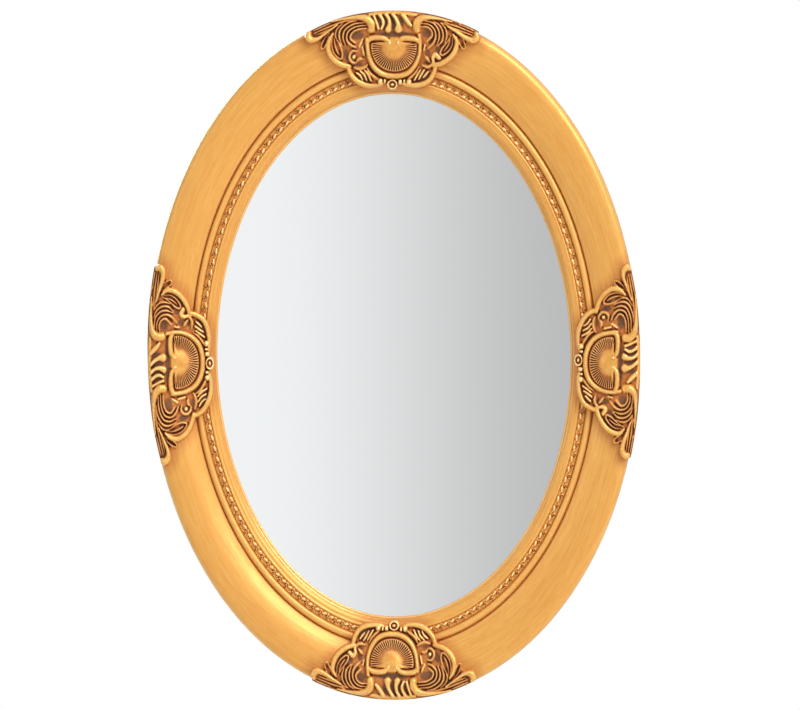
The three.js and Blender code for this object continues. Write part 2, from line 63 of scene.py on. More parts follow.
# The board and its section from back to front, with a broken edge: [share in from the edge, depth]
BOARD_THICKNESS = 3.2
BOARD_PLAY = 0.5
BOARD_STEPS = 360
BOARD_SECTION = [(0.4, 0.12), (0.03, 0.12), (0.008, 0.14), (0.0, 0.5), (0.0, BOARD_THICKNESS),
                 (0.4, BOARD_THICKNESS)]

# The hanger's recess, and the bare wood: faces this near rebate or recess, or this square to the wall and
# this near it
RECESS_DEPTH = 3.4
RECESS_MARGIN = 1.6
BARE_SLACK = 0.1
BARE_SHARE_SLACK = 0.01
BARE_FACING = 0.8
BARE_LAYER = 1.0

# Edges sharper than these angles stay crisp, in degrees
CREASE_ANGLE = 40
LEAF_CREASE_ANGLE = 75
BOARD_CREASE_ANGLE = 30

# The moulding's front as smooth runs of [share of the band's width, depth], with a crease between runs
FRONT_RUNS = [
    [(0, REBATE_DEPTH), (0, 8.4), (0, 9.9)],
    [(0, 9.9), (0.004, 10.8), (0.013, 11.4), (0.03, 11.6)],
    [(0.03, 11.6), (0.033, 13.2), (0.042, 15.1), (0.057, 16.9), (0.076, 18.3), (0.095, 19), (0.11, 19.3)],
    [(0.11, 19.3), (0.122, 19.35), (0.134, 19.55), (0.142, 19.9), (0.152, 20.25), (0.164, 20)],
    [(0.164, 20), (0.172, 19.1)],
]
BAND_SHARES = (0.172, 0.266)
BAND_DEPTH = 19.1
OUTER_RUNS = [
    [(0.266, 19.1), (0.272, 19.5)],
    [(0.272, 19.5), (0.277, 21.5), (0.286, 22.6), (0.300, 23.25), (0.318, 23.5), (0.336, 23.3), (0.351, 22.6),
     (0.361, 21.3), (0.366, 19.8)],
    [(0.366, 19.8), (0.377, 19.7)],
    [(0.377, 19.7), (0.382, 22.1), (0.392, 23.5), (0.43, 25.6), (0.5, 28.6), (0.575, 30.5), (0.65, 31.9),
     (0.75, 33.1), (0.84, 33.6), (0.89, 33.6), (0.93, 33.1), (0.96, 31.8), (0.98, 30.1), (0.993, 27.8),
     (1, 24.5)],
    [(1, 24.5), (0.996, 18), (0.985, 8), (0.978, 1.6), (0.9755, 0.35), (0.972, 0)],
]
MOULDING_STEPS = 720

# Rows across the flat back, steps in each span of a run, and the rows in the sight lip and on the outer
# side, where no casting lies
BACK_SHARES = (0.9, 0.7, 0.5, 0.3)
RUN_STEPS = 2
LIP_ROWS = 5
SIDE_ROWS = 12

# Glaze in the moulding's quirks, and wear with a painted highlight on its crests and edges; the one at 0.98,
# on the outer rim's slope, is a painted highlight. Each is [share, half width, amount], on rows further out
# than this depth
QUIRK_GLAZE = [(0.166, 0.004, 0.45), (0.269, 0.004, 0.7), (0.3715, 0.0045, 1.3)]
CREST_WEAR_AND_HIGHLIGHT = [(0.155, 0.006, 0.4), (0.316, 0.03, 0.3), (0.395, 0.012, 0.4), (0.98, 0.02, 0.4),
              (0.012, 0.008, 0.8)]
TONED_DEPTH = 9

# The painted shade beside each casting, a darker halo on rows at least this far out, and how far past the
# casting's ends it is worked out
HALO_DEPTH = 8
HALO_WIDTH = 13.0
HALO_MARGIN = 30

# How far the brush marks shift with depth on steep faces
STREAK_SHIFT = 0.002

# The running leaf in the patterned band: repeats round the oval, the length and half width of one, and
# its highest relief. The strip lies in a shallow bed in the moulding.
LEAF_REPEATS = 156
LEAF_LENGTH = 9.77
LEAF_HALF_WIDTH = 3.93
LEAF_HEIGHT = 1.9
LEAF_STEPS = 24
LEAF_ROWS = 18
BED_DEPTH = 0.4
BED_PLAY = 0.001
BED_WALL = 0.0004
BED_GAP = 0.08
WEAR_HIGHLIGHT_SEED = 3
WEAR_HIGHLIGHT_RANGE = (0.8, 0.4)

# Glaze, darkening and wear with painted highlight on the leaf, each as its weight and the heights or depths
# between
# which it comes in: glaze on the bare floor and in grooves, darker where the leaf is lower than around, and
# wear with a painted highlight on crests and slopes
LEAF_CELLS = 2
LEAF_FLOOR_GLAZE, LEAF_FLOOR = 0.3, 0.1
LEAF_GROOVE_GLAZE, LEAF_GROOVES = 1.5, (0.28, 0.75)
LEAF_LOW_DARKENING = 0.4
LEAF_CREST_WEAR_AND_HIGHLIGHT, LEAF_CRESTS = 1.1, (0.5, 0.85)
LEAF_SLOPE_WEAR_AND_HIGHLIGHT, LEAF_SLOPES = 0.35, (0.2, 0.5)

# The forms of one repeat, in millimetres along and across the band, with heights as shares of the highest:
# a swinging stem, a curled ring, a rib along each border, and leaves as [centre, radii, lean, height,
# fullness of the top]
STEM = {"start": 0.3, "middle": -0.7, "swing": 1.9, "lean": 0.5, "half_width": 0.62, "height": 0.62}
CURL = {"centre": (7.6, 1.35), "radius": 1.15, "half_width": 0.42, "height": 0.75}
RIB = {"across": 3.6, "half_width": 0.33, "height": 0.4}
LEAF_FORMS = [
    ((2.9, -1.5), (3.2, 1.55), -0.26, 1.0, 0.5),
    ((5.2, 2.3), (1.1, 0.75), 0.4, 0.6, 0.6),
    ((9.2, -2.3), (0.9, 0.8), 0.3, 0.5, 0.6),
]

# Where each casting sits: the angle round the oval of its middle and of half its length, in degrees
SITES = {
    "ornament_top": (89.4, 21.5),
    "ornament_right": (-1.6, 17.0),
    "ornament_bottom": (268.9, 20.3),
    "ornament_left": (181.2, 17.5),
}

# The ornament is drawn on a sheet: x clockwise along the frame from the ornament's middle, v outward
# across the band from the sight edge.
SHEET_HALF_LENGTH = 94
SHEET_HEIGHT = 83.5
SHEET_MARGIN = 3.5
SHEET_COLUMNS = 470
SHEET_ROWS = 205
LOWEST_ROW = 0.5
PLATE_THICKNESS = 1.6
GROUND = [(0.03, 15.5), (0.1, 21.5), (0.2, 24), (0.3, 25.8), (0.4, 27.6), (0.5, 29.9), (0.65, 32.8),
          (0.84, 34.6), (0.95, 34.4), (1, 32.8), (1.04, 31.2)]
UPPER_EDGE = [(-97, 82), (-92, 82.6), (-60, 83.6), (0, 83.4), (40, 84.2), (86, 84.8), (97, 84)]
LOWER_EDGE = [(-94, 77), (-92, 70.5), (-85, 66.5), (-80, 60), (-76.6, 55), (-73.5, 45), (-66, 36.5),
              (-59, 32), (-56.5, 23), (-50, 14.5), (-41, 9), (-28, 6), (-12, 5.5), (0, 3.4), (11, 5.5),
              (28, 6.4), (42, 9.5), (51.5, 16), (56.5, 27), (62, 36), (70, 43), (75.5, 53), (80, 60),
              (86, 68), (92.5, 71), (94, 78)]
OUTLINE = LOWER_EDGE + [(93, 99), (-93, 99)]
OUTLINE_INSET = 2.6

# Where a casting meets the moulding: the width of its rise, and how deep its border is buried
BORDER_RISE = 2.2
BURIED_DEPTH = 1.2

# The casting's outer edge turns over the rim, [share outward, depth down], and ends inside the moulding
RIM_TURN = [(0.004, 0.35), (0.007, 1.1), (0.008, 2.4), (0.007, 4.2), (0.005, 6.2)]
RIM_SHARE = 0.985
RIM_LEAST_DEPTH = 24.2
RIM_END_DEPTH = 22.0

# Strokes of the casting: middle line, widths spread evenly along it, height above the plate
RIMS = [
    ([(-64, 71), (-70, 65), (-72.6, 57.5), (-71.4, 49.5), (-67, 42.2), (-60.5, 36.8), (-53.5, 33.5)],
     (3.4, 5.8, 6.8, 6.8, 6.8, 6.8, 7), 4),
    ([(-54.8, 33), (-53, 25), (-47.6, 17.8), (-40, 12.6), (-31, 9.4), (-21, 8.6), (-13.5, 9.8)],
     (7.2, 7, 6.8, 6.4, 5.8, 5.2, 4.4), 4),
    ([(65.5, 71), (70.8, 65), (71.2, 56), (68.4, 48.4), (63, 41.6), (56.5, 36.8), (50.5, 34.5)],
     (3.4, 5.6, 6.6, 6.8, 6.8, 6.8, 7), 4),
    ([(53, 34), (52, 26), (48.2, 18.4), (41, 13.2), (32, 10.4), (22, 9.2), (14.5, 10)],
     (7, 6.8, 6.6, 6.4, 5.8, 5.2, 4.4), 4),
    ([(-28.6, 56), (-28.9, 47), (-28, 38.5), (-24.6, 29.5), (-18, 22.6), (-8.5, 18.2), (2, 17),
      (12.5, 18.2), (22, 22.8), (28.4, 31), (31.6, 41), (31.6, 51), (29.6, 61)],
     (6, 5.8, 6.2, 6.6, 6.8, 6.8, 6.8, 6.8, 6.6, 6.2, 5.4, 5.2, 5.4), 4.8),
    ([(-29, 53.5), (-24.5, 56.6), (-16.5, 56.9), (-9.4, 55.6), (-4.6, 52.4)], (6.4, 6.4, 6.2, 6.2, 6.6), 4.4),
    ([(31, 53.5), (26, 56), (18.5, 56.4), (11.5, 55.4), (7.4, 52.6)], (6.2, 6.4, 6.8, 7.2, 6.8), 4.4),
    ([(-62, 83), (-46, 82), (-34, 80), (-26, 76.6), (-22.2, 71), (-22.6, 66)],
     (2.6, 4.2, 6.4, 8.6, 9.8, 10.4), 4.4),
    ([(61, 83), (46, 82), (35, 80.2), (28, 76.4), (25.8, 71), (26.6, 66)],
     (2.6, 4.2, 6.4, 8.4, 9.6, 10), 4.4),
    ([(58, 77), (69, 74.6), (79.5, 72.8), (86.6, 73.6), (89.4, 77.8), (88.4, 81.6)],
     (2.6, 4.4, 6.2, 7.6, 8, 7.2), 4.2),
    ([(-58, 77.8), (-70, 74.2), (-80.5, 72), (-87, 73.8), (-89.2, 78.4), (-87.8, 81.6)],
     (2.4, 3.2, 4.8, 7.4, 8.2, 7.4), 4.4),
    ([(-23, 81.3), (-8, 82.1), (8, 82.1), (24, 81.3)], (4.6, 4.8, 4.8, 4.6), 2),
]
RIDGES = [
    ([(-82, 81.6), (-72, 81.7), (-62, 82.4)], (2.4, 2.6, 2), 2.2),
    ([(-68, 83.9), (-54, 84.2), (-40, 83.8)], (1.6, 1.8, 1.6), 2.2),
    ([(-82, 78.8), (-68, 78.9), (-52, 79.6), (-37, 78.2)], (2.6, 2.8, 2.8, 2.4), 2.4),
    ([(-80.5, 76.1), (-72, 76.1), (-61, 77.4)], (2.2, 2.6, 2.2), 2.2),
    ([(-66.6, 73), (-73, 69.8), (-78, 65), (-79.6, 61.2), (-76.8, 60.4), (-72.6, 64.6),
      (-68.8, 70.4)], (1.6, 2, 2.3, 2.6, 2.4, 2.1, 1.7), 2.7),
    ([(-28, 67.6), (-37, 68), (-44, 65.8), (-46.6, 60.6), (-42.4, 55.4)], (3, 3, 3, 3.4, 4.6), 3),
    ([(-28, 70.7), (-39, 71.1), (-47.6, 68.2), (-50.6, 61), (-47.6, 54.6), (-42.4, 50.6)],
     (2.9, 3, 3.2, 3.4, 3.8, 4.4), 3),
    ([(-29, 73.7), (-41, 74.2), (-50.8, 70.6), (-54.3, 63.4), (-53, 55.5)], (2.8, 3, 3.2, 3.4, 2.8), 2.7),
    ([(-37, 77), (-46, 76.9), (-54.8, 72.8), (-58, 66), (-57, 56)], (2.2, 2.8, 3.2, 3.4, 3), 2.6),
    ([(-52, 77.8), (-58.8, 74), (-61.6, 68.6), (-61, 62)], (2.2, 2.6, 2.6, 2), 2.3),
    ([(-63.6, 70.6), (-67.5, 62), (-67.9, 53), (-64.6, 46), (-60.9, 43.6), (-58.5, 48), (-58.9, 56),
      (-61.2, 64), (-63.4, 70)], (1.8, 2.2, 2.5, 2.7, 3, 2.7, 2.3, 2.1, 1.8), 2.7),
    ([(-63.6, 67), (-64.5, 59), (-63.6, 52), (-61.8, 47.8)], (1.4, 2.2, 2.6, 2.2), 2.3),
    ([(-41.4, 46.4), (-46, 47.8), (-50.2, 45), (-51, 40.4), (-48.6, 36.6), (-44.6, 35.4)],
     (3.2, 3.6, 3.9, 4.2, 4.4, 3.6), 3.2),
    ([(-43.8, 36.4), (-40, 38.3), (-35.4, 37.4)], (3.4, 4.8, 3.4), 3.3),
    ([(-47.8, 31.4), (-42.6, 28.6), (-36, 28.6), (-30.6, 31)], (3.6, 4.4, 4.8, 3.6), 3),
    ([(-32.6, 29.4), (-29.8, 23), (-24, 17.6), (-17.6, 13.8)], (3.4, 4.4, 4.8, 4.2), 2.8),
    ([(50, 81.8), (58, 80), (70, 80.2), (86, 80.8)], (2.2, 2.6, 2.6, 2.4), 2.3),
    ([(51, 79.2), (60, 77.4), (72, 77.3), (86, 78)], (2.2, 2.6, 2.6, 2.4), 2.3),
    ([(69, 82.9), (78, 83.4), (86, 83.4)], (2, 2.4, 2.2), 2.2),
    ([(46, 84.2), (58, 84.6), (71, 84.4)], (1.6, 1.8, 1.6), 2.2),
    ([(67.6, 73), (71.6, 67.6), (75.8, 62.8), (79.4, 61), (80.8, 63.6), (78.2, 68.2), (74.4, 72.6)],
     (1.7, 2.1, 2.4, 2.7, 2.5, 2.1, 1.7), 2.7),
    ([(30, 69.8), (36.5, 70.8), (41.8, 68.4), (43.6, 63), (38.8, 56.4)], (2.8, 2.9, 3, 3.6, 5), 3),
    ([(29, 72.8), (38, 73.6), (44.8, 70), (47.6, 63), (46, 56), (41.2, 49.8)],
     (2.8, 2.9, 3.1, 3.5, 3.8, 4.2), 3),
    ([(31, 76), (42, 76.3), (49, 71), (51.4, 63.4), (50.4, 55.6)], (2.6, 3, 3.2, 3.4, 2.6), 2.7),
    ([(42, 78.8), (50, 75), (54.6, 68.6), (55.2, 61), (51.6, 54.6)], (2.2, 2.8, 3.2, 3.2, 2.6), 2.6),
    ([(50, 78.6), (56.4, 73.8), (59, 67), (58.4, 59.4)], (2.2, 2.8, 3, 2.4), 2.4),
    ([(63.6, 70), (60.6, 61), (56.6, 53.4), (55.6, 47.8), (59.2, 47.2), (64, 52.6), (66.6, 60), (65.2, 69)],
     (1.8, 2.2, 2.6, 3, 2.9, 2.5, 2.3, 1.8), 2.7),
    ([(63.4, 66), (62.4, 58.4), (59.4, 51.4)], (1.4, 2.4, 2.4), 2.3),
    ([(38.4, 41.2), (42, 39), (46.4, 35.8)], (3.4, 4.4, 3.4), 3.3),
    ([(48.8, 37.4), (47.6, 33.6), (42.8, 31), (36.6, 31.6)], (4.2, 4.6, 4.6, 3.6), 3.3),
    ([(32.4, 29), (30, 23.6), (24.4, 17.8), (18.4, 14)], (3.2, 4.2, 4.6, 4.2), 2.8),
]
LEAVES = [
    ([(-19.2, 79.4), (-17, 73), (-15, 66)], (3.4, 3.6, 4.2), 3.2),
    ([(-13.2, 80), (-10.2, 75), (-9.6, 70), (-11.8, 65.6)], (4.2, 4.4, 4.4, 3.8), 3.4),
    ([(-6.6, 80.2), (-3.6, 75), (-3, 69.4), (-4.6, 64.4)], (4.6, 4.6, 5.4, 8), 4),
    ([(0.4, 80.2), (4, 75), (6.4, 69.4), (6.6, 64.6)], (4.6, 4.6, 6, 9), 4.2),
    ([(10.6, 80.6), (13.6, 76.4), (17, 72.4), (20, 69.6)], (5.4, 5.6, 5, 4), 3.4),
    ([(55.4, 43.2), (50.6, 45), (48.2, 41.4), (49.6, 37)], (5.6, 6.4, 5.2, 4.6), 3.4),
    ([(-45.6, 25.2), (-41.6, 21.4), (-39.6, 17)], (3, 4, 2.8), 2.6),
    ([(-40.8, 25.8), (-36.4, 21.4), (-34.4, 15.6)], (3, 4.2, 2.8), 2.8),
    ([(-35.2, 25.6), (-31.2, 20.6), (-28.4, 14)], (3, 4.2, 2.8), 2.8),
    ([(44.8, 26.4), (42.4, 22.6), (40, 19.6)], (2.8, 4, 2.8), 2.6),
    ([(40, 27.4), (37.2, 22.4), (34.6, 17)], (2.8, 4.2, 2.8), 2.8),
    ([(35, 26), (32, 20.6), (28.8, 15)], (2.8, 4, 2.8), 2.8),
    ([(-33.8, 42), (-34.6, 49.5)], (3.4, 2.8), 1.8),
    ([(-37.6, 51), (-33.4, 57)], (3.2, 2.4), 1.5),
    ([(36.4, 47), (37, 52)], (2.6, 2.2), 1.6),
]

# How each kind of stroke is laid: size left at its ends, fullness of its top (1 is a ridge), wear with
# painted highlight, and glaze
STROKE_KINDS = [
    (RIMS, 0.85, 0.6, 0.12, 0.0),
    (RIDGES, 0.6, 0.65, 0.3, 0.27),
    (LEAVES, 1.0, 0.55, 0.36, 0.05),
]
STROKE_STEPS = 6
STROKE_FOOT = 0.9
PLAIN_MARGIN = 1.1

# Round knobs: centre, radii along x and v, height
KNOBS = [
    ((-16.4, 11.8), (3.8, 4), 5),
    ((-10.4, 12.6), (2.2, 2.6), 4),
    ((10.2, 11.2), (3.2, 3.9), 4.6),
    ((15.6, 12.6), (2.2, 2.6), 4),
    ((21.8, 11.8), (4, 4), 5),
    ((-0.2, 8.6), (2.7, 1.9), 3.6),
    ((-3.4, 50.6), (2, 2.8), 5),
    ((6.4, 50.8), (2, 2.8), 5),
    ((-46, 41.6), (2.3, 2.3), 1.8),
]
KNOB_SQUARENESS = 2.6
KNOB_FULLNESS = 0.5
# Wear with a painted highlight on the knobs and the rosette
ROUND_WEAR_AND_HIGHLIGHT = 0.7

# The rosette: centre, ring radius, ring width and height. It is longer than wide, with a floor at a share
# of that height and some plate round it.
ROSETTE = ((-0.4, 8.8), 4.2, 2.3, 3.8)
ROSETTE_ASPECT = 1.42
ROSETTE_FULLNESS = 0.6
ROSETTE_FLOOR = 0.4
ROSETTE_FOOT = 1.6

# Sunken stippled patches: centre, radii, depth
PITS = [
    ((-38, 62), (7.6, 4.6), 2.2),
    ((37, 64.5), (5, 5.2), 2.4),
    ((-59, 70), (3.4, 4), 1.2),
    ((52.5, 51), (3.6, 3.4), 1.4),
    ((64.4, 62), (2.6, 5.6), 1),
    ((-38.5, 19.5), (9, 5.4), 1.2),
    ((38, 21.6), (9.6, 6.4), 1.4),
    ((-41.2, 33.2), (5.2, 1.7), 2.6),
    ((41.6, 44.8), (3.4, 4.2), 2),
    ((42, 35.4), (4, 1.6), 2.4),
    ((2, 60.2), (23, 3.4), 2.4),
    ((9.4, 73), (3, 6), 1.6),
    ((-6, 71), (13, 8), 1),
    ((-45.6, 42), (3.6, 3.6), 1.2),
    ((-54, 46), (3.2, 7), 0.8),
]
PIT_FADE = (0.55, 1.1)
STIPPLE_SEED = 7
STIPPLE_HEIGHT = 0.45

# The relief is a mix of itself and itself softened
SHARP_PART = 0.2
SOFT_PART = 0.8

# Fluted shell in the cartouche, 0 at its centre and 1 at its border: where its flutes rise and end, and the
# lid above which the cartouche's arms hide its dome
SHELL_CENTRE = (2.0, 45.0)
SHELL_FIELD = (30.6, 26.4)
SHELL_FLUTES = 32
SHELL_TURNS = (21.0, -201.0)
SHELL_DOME = 3.6
SHELL_LID = ((4.5, 8), (57.0, 53.0))
FLUTE_HEIGHT = 2.2
FLUTE_LEVEL = 0.8
FLUTE_FULLNESS = 0.6
FLUTE_START = (0.16, 0.54)
FLUTE_TIP = 0.9
FLUTE_SCALLOP = 0.05

# The dome falls in two steps, as [share of its height, (from, to)], and fades out this near the lid. Glaze
# lies between the flutes, in gaps that widen outward, and along the border; wear with a painted highlight
# lies on the flutes' tops.
INNER_FALL, INNER_STEP = 0.3, (0.1, 0.62)
OUTER_FALL, OUTER_STEP = 0.7, (0.78, 0.98)
LID_FADE = (-2.0, 0.5)
GAP_GLAZE, GAP_SHARPNESS = 1.3, 2.6
GAP_NARROWING, NARROWING_STEP = 1.5, (0.35, 0.8)
SHELL_BORDER_GLAZE, SHELL_BORDER = 0.5, (0.84, 0.92)
FLUTE_TOPS = (0.35, 0.9)

# Glaze and painted shade on the castings, with wear and painted highlights: the relief is compared with
# itself smoothed over these numbers of cells, and each kind of hollow counts by its own weight
FINE_CELLS = 3
BROAD_CELLS = 9
GROOVE_CELLS = 3
GROOVE_DEPTHS = (0.3, 1.6)
GROOVE_WEIGHT = 0.95
# The fine term is painted shade on the plate next to higher rims
FINE_WEIGHT, FINE_DEPTH = 0.45, 1.2
BROAD_WEIGHT, BROAD_DEPTH = 0.2, 3
WASH_WEIGHT = 0.8
PIT_WEIGHT = 0.3
PLATE_GLAZE = 0.4
BORDER_CLEAR = (0.6, 2.6)
# Painted contact shadow along the casting's outline, where it meets the moulding
BORDER_SHADE = 0.62
BORDER_SHADE_REACH = (0.2, 1.5)
# The crest term is a painted highlight on edges that stand above the relief around them
CREST_WEIGHT, CREST_HEIGHT = 0.5, 0.8
LEAST_WEAR_HIGHLIGHT = 0.05
SIDE_TONES = {"hollow": 0.2, "crest": 0, "pit": 0}

# Camera, in metres: frontal, from far away, turned a little about its axis as the picture is
CAMERA_PLACE = (0.0062, -6.0, 0.0001)
CAMERA_ROLL = 0.7
SENSOR_WIDTH = 36
VIEW_WIDTH = 0.8183

# Studio, in metres and watts: the surround's strength low down and high up, and square lights aimed at the
# origin as [place, side, power, tint]
WHITE = (1, 1, 1, 1)
WORLD_HEIGHTS = (-0.8, 0.9)
WORLD_STRENGTHS = (0.36, 0.66)
LIGHTS = {
    "key": ((2.15, -2.5, 2.35), 2.5, 140, (1.0, 0.98, 0.94)),
    "fill": ((-2.6, -2.0, 0.8), 2.2, 16, (0.9, 1.0, 1.0)),
    "back": ((-1.6, 3.4, 1.4), 2.0, 60, (1, 1, 1)),
}

# The glowing card that the glass reflects, in millimetres, and its strength over this stretch in metres
CARD_HALF = (900.0, 1300.0)
CARD_Y = -9000.0
CARD_STRETCH = (-0.42, 0.5)
CARD_STRENGTHS = (0.93, 0.52)
CARD_TINT = (0.985, 0.995, 1.0, 1)

FLOOR_HEIGHT = -750.0
FLOOR_HALF = 6000.0
FLOOR_COLOUR = (0.78, 0.78, 0.77, 1)
SQUARE = ((-1, -1), (1, -1), (1, 1), (-1, 1))


# Curves, grids and meshes

def half_axes(share):
    """Half the width and half the height of the oval at a share of the band."""
    half_x = (SIGHT_WIDTH + (FRAME_WIDTH - SIGHT_WIDTH) * share) / 2
    half_z = (SIGHT_HEIGHT + (FRAME_HEIGHT - SIGHT_HEIGHT) * share) / 2
    return half_x, half_z


def oval(angle, share, depth):
    """Points of the frame from the angle round the oval, the share across the band and the depth."""
    half_x, half_z = half_axes(share)
    return np.stack([half_x * np.cos(angle), -depth + 0 * angle, half_z * np.sin(angle)], axis=-1)


def smoothstep(low, high, value):
    """0 up to low, 1 from high, and a soft rise between."""
    t = np.clip((value - low) / (high - low), 0, 1)
    return t * t * (3 - 2 * t)


def spline(points, steps):
    """A Catmull-Rom curve through the points, with that many steps in each span."""
    points = np.asarray(points, float)
    padded = np.vstack([2 * points[0] - points[1], points, 2 * points[-1] - points[-2]])
    out = []
    for i in range(len(points) - 1):
        a, b, c, d = padded[i:i + 4]
        for t in np.arange(steps) / steps:
            out.append(0.5 * (2 * b + (c - a) * t + (2 * a - 5 * b + 4 * c - d) * t ** 2
                              + (3 * b - a - 3 * c + d) * t ** 3))
    return np.array(out + [points[-1]])


def scaled(x, v, centre, radii):
    """Place from a centre, with 1 at the radii."""
    return (x - centre[0]) / radii[0], (v - centre[1]) / radii[1]


def bordered(field, axis, before, after):
    """A field with its edge repeated before and after it along one axis."""
    widths = [(0, 0), (0, 0)]
    widths[axis] = (before, after)
    return np.pad(field, widths, mode="edge")


def blurred(field, radius, passes=2):
    """A field averaged over a square of that many cells each way, more than once for a soft fall."""
    for _ in range(passes):
        for axis in (0, 1):
            total = np.cumsum(bordered(field, axis, radius + 1, radius), axis=axis)
            size = total.shape[axis]
            near = np.take(total, range(2 * radius + 1, size), axis=axis)
            far = np.take(total, range(0, size - 2 * radius - 1), axis=axis)
            field = (near - far) / (2 * radius + 1)
    return field


def closed(field, radius):
    """A field with its valleys filled where they are narrower than twice the radius, in cells."""
    for pick in (np.maximum, np.minimum):
        for axis in (0, 1):
            wide = bordered(field, axis, radius, radius)
            size = field.shape[axis]
            field = pick.reduce([np.take(wide, range(k, k + size), axis=axis) for k in range(2 * radius + 1)])
    return field


def polygon_distance(grid_x, grid_v, corners):
    """Distance to a polygon's edge, positive inside."""
    corners = np.asarray(corners, float)
    nearest = np.full(grid_x.shape, 1e9)
    odd = np.zeros(grid_x.shape, bool)
    for (x0, v0), (x1, v1) in zip(np.roll(corners, 1, axis=0), corners):
        run = (x1 - x0, v1 - v0)
        t = np.clip(((grid_x - x0) * run[0] + (grid_v - v0) * run[1]) / (run[0] ** 2 + run[1] ** 2), 0, 1)
        nearest = np.minimum(nearest, np.hypot(grid_x - x0 - run[0] * t, grid_v - v0 - run[1] * t))
        if v0 != v1:
            odd ^= ((v1 > grid_v) != (v0 > grid_v)) & (grid_x < (x0 - x1) * (grid_v - v1) / (v0 - v1) + x1)
    return np.where(odd, nearest, -nearest)


def stroke_distances(grid_x, grid_v, path, width, taper):
    """Share of the half width from the middle line, the line's fullness, and distance to the foot."""
    line = spline(path, STROKE_STEPS)
    t = np.linspace(0, 1, len(line))
    fullness = np.minimum(1, taper + (1 - taper) * 4 * np.minimum(t, 1 - t))
    half = np.interp(t, np.linspace(0, 1, len(width)), width) / 2 * fullness
    inward = np.full(grid_x.shape, -99.0)
    section = np.full(grid_x.shape, 9.0)
    full = np.zeros(grid_x.shape)
    low, high = line.min(axis=0) - max(width), line.max(axis=0) + max(width)
    box = (grid_x > low[0]) & (grid_x < high[0]) & (grid_v > low[1]) & (grid_v < high[1])
    x, v = grid_x[box], grid_v[box]
    best_in, best_section, best_full = inward[box], section[box], full[box]
    for i in range(len(line) - 1):
        run = line[i + 1] - line[i]
        along = np.clip(((x - line[i, 0]) * run[0] + (v - line[i, 1]) * run[1]) / (run @ run), 0, 1)
        away = np.hypot(x - line[i, 0] - run[0] * along, v - line[i, 1] - run[1] * along)
        reach = half[i] + (half[i + 1] - half[i]) * along
        nearer = reach - away > best_in
        best_in = np.where(nearer, reach - away, best_in)
        best_section = np.where(nearer, away / reach, best_section)
        best_full = np.where(nearer, fullness[i] + (fullness[i + 1] - fullness[i]) * along, best_full)
    inward[box], section[box], full[box] = best_in, best_section, best_full
    return inward, section, full


def make_piece(name, points, faces, materials, attributes=None, crease=None):
    """A mesh object from points in millimetres, lists of corners and named values at the points."""
    mesh = bpy.data.meshes.new(name)
    mesh.from_pydata((points * TO_METRES).tolist(), [], faces)
    for key, values in (attributes or {}).items():
        kind, field = ("FLOAT_VECTOR", "vector") if values.ndim == 2 else ("FLOAT", "value")
        layer = mesh.attributes.new(key, kind, "POINT")
        layer.data.foreach_set(field, values.astype(np.float32).ravel())
    for material in materials:
        mesh.materials.append(material)
    mesh.shade_smooth()
    if crease:
        mesh.set_sharp_from_angle(angle=math.radians(crease))
    piece = bpy.data.objects.new(name, mesh)
    bpy.context.scene.collection.objects.link(piece)
    return piece


def round_quads(first, second, steps):
    """Quads between two rounds of points, from the index of each round's first point."""
    i = np.arange(steps)
    k = (i + 1) % steps
    return np.stack([first + i, second + i, second + k, first + k], axis=1)


def ring_faces(rows, steps):
    """Quads of a closed ring whose rows follow each other round its cross-section."""
    strips = [round_quads(row * steps, (row + 1) % rows * steps, steps) for row in range(rows)]
    return np.concatenate(strips).tolist()


# Materials

def colour(red, green, blue):
    """A colour given by its display values from 0 to 255, as the shader's linear values."""
    parts = [part / 255 for part in (red, green, blue)]
    linear = [part / 12.92 if part <= 0.04045 else ((part + 0.055) / 1.055) ** 2.4 for part in parts]
    return (*linear, 1.0)


class Nodes:
    """A node tree, with short ways to add the kinds of node used here."""

    def __init__(self, tree):
        self.tree = tree

    def add(self, kind, inputs, **settings):
        node = self.tree.nodes.new(kind)
        for key, value in settings.items():
            setattr(node, key, value)
        for key, value in inputs.items():
            self.put(node.inputs[key], value)
        return node

    def put(self, socket, value):
        if isinstance(value, bpy.types.NodeSocket):
            self.tree.links.new(value, socket)
        elif value is not None:
            socket.default_value = value

    def attribute(self, name, output="Fac"):
        return self.add("ShaderNodeAttribute", {}, attribute_name=name).outputs[output]

    def place(self, output="Object"):
        return self.add("ShaderNodeTexCoord", {}).outputs[output]

    def part(self, vector, axis):
        return self.add("ShaderNodeSeparateXYZ", {0: vector}).outputs[axis]

    def stretched(self, vector, scale):
        return self.add("ShaderNodeVectorMath", {0: vector, 1: scale}, operation="MULTIPLY").outputs[0]

    def noise(self, vector, scale, detail=3.0, roughness=0.55, distortion=0.0):
        inputs = {"Vector": vector, "Scale": scale, "Detail": detail, "Roughness": roughness,
                  "Distortion": distortion}
        return self.add("ShaderNodeTexNoise", inputs).outputs[0]

    def maths(self, operation, a, b, clamp=False):
        return self.add("ShaderNodeMath", {0: a, 1: b}, operation=operation, use_clamp=clamp).outputs[0]

    def remap(self, value, low, high, to_low=0.0, to_high=1.0, kind="LINEAR"):
        inputs = {"Value": value, "From Min": low, "From Max": high, "To Min": to_low, "To Max": to_high}
        return self.add("ShaderNodeMapRange", inputs, interpolation_type=kind).outputs[0]

    def mix(self, factor, a, b):
        return self.add("ShaderNodeMix", {0: factor, 6: a, 7: b}, data_type="RGBA").outputs[2]

    def over(self, base, value, low, high, colour, most=1.0):
        """The base, with a colour over it that comes in as the value goes from low to high."""
        return self.mix(self.remap(value, low, high, 0.0, most), base, colour)

    def bump(self, height, distance, strength):
        inputs = {"Height": height, "Distance": distance, "Strength": strength}
        return self.add("ShaderNodeBump", inputs).outputs[0]


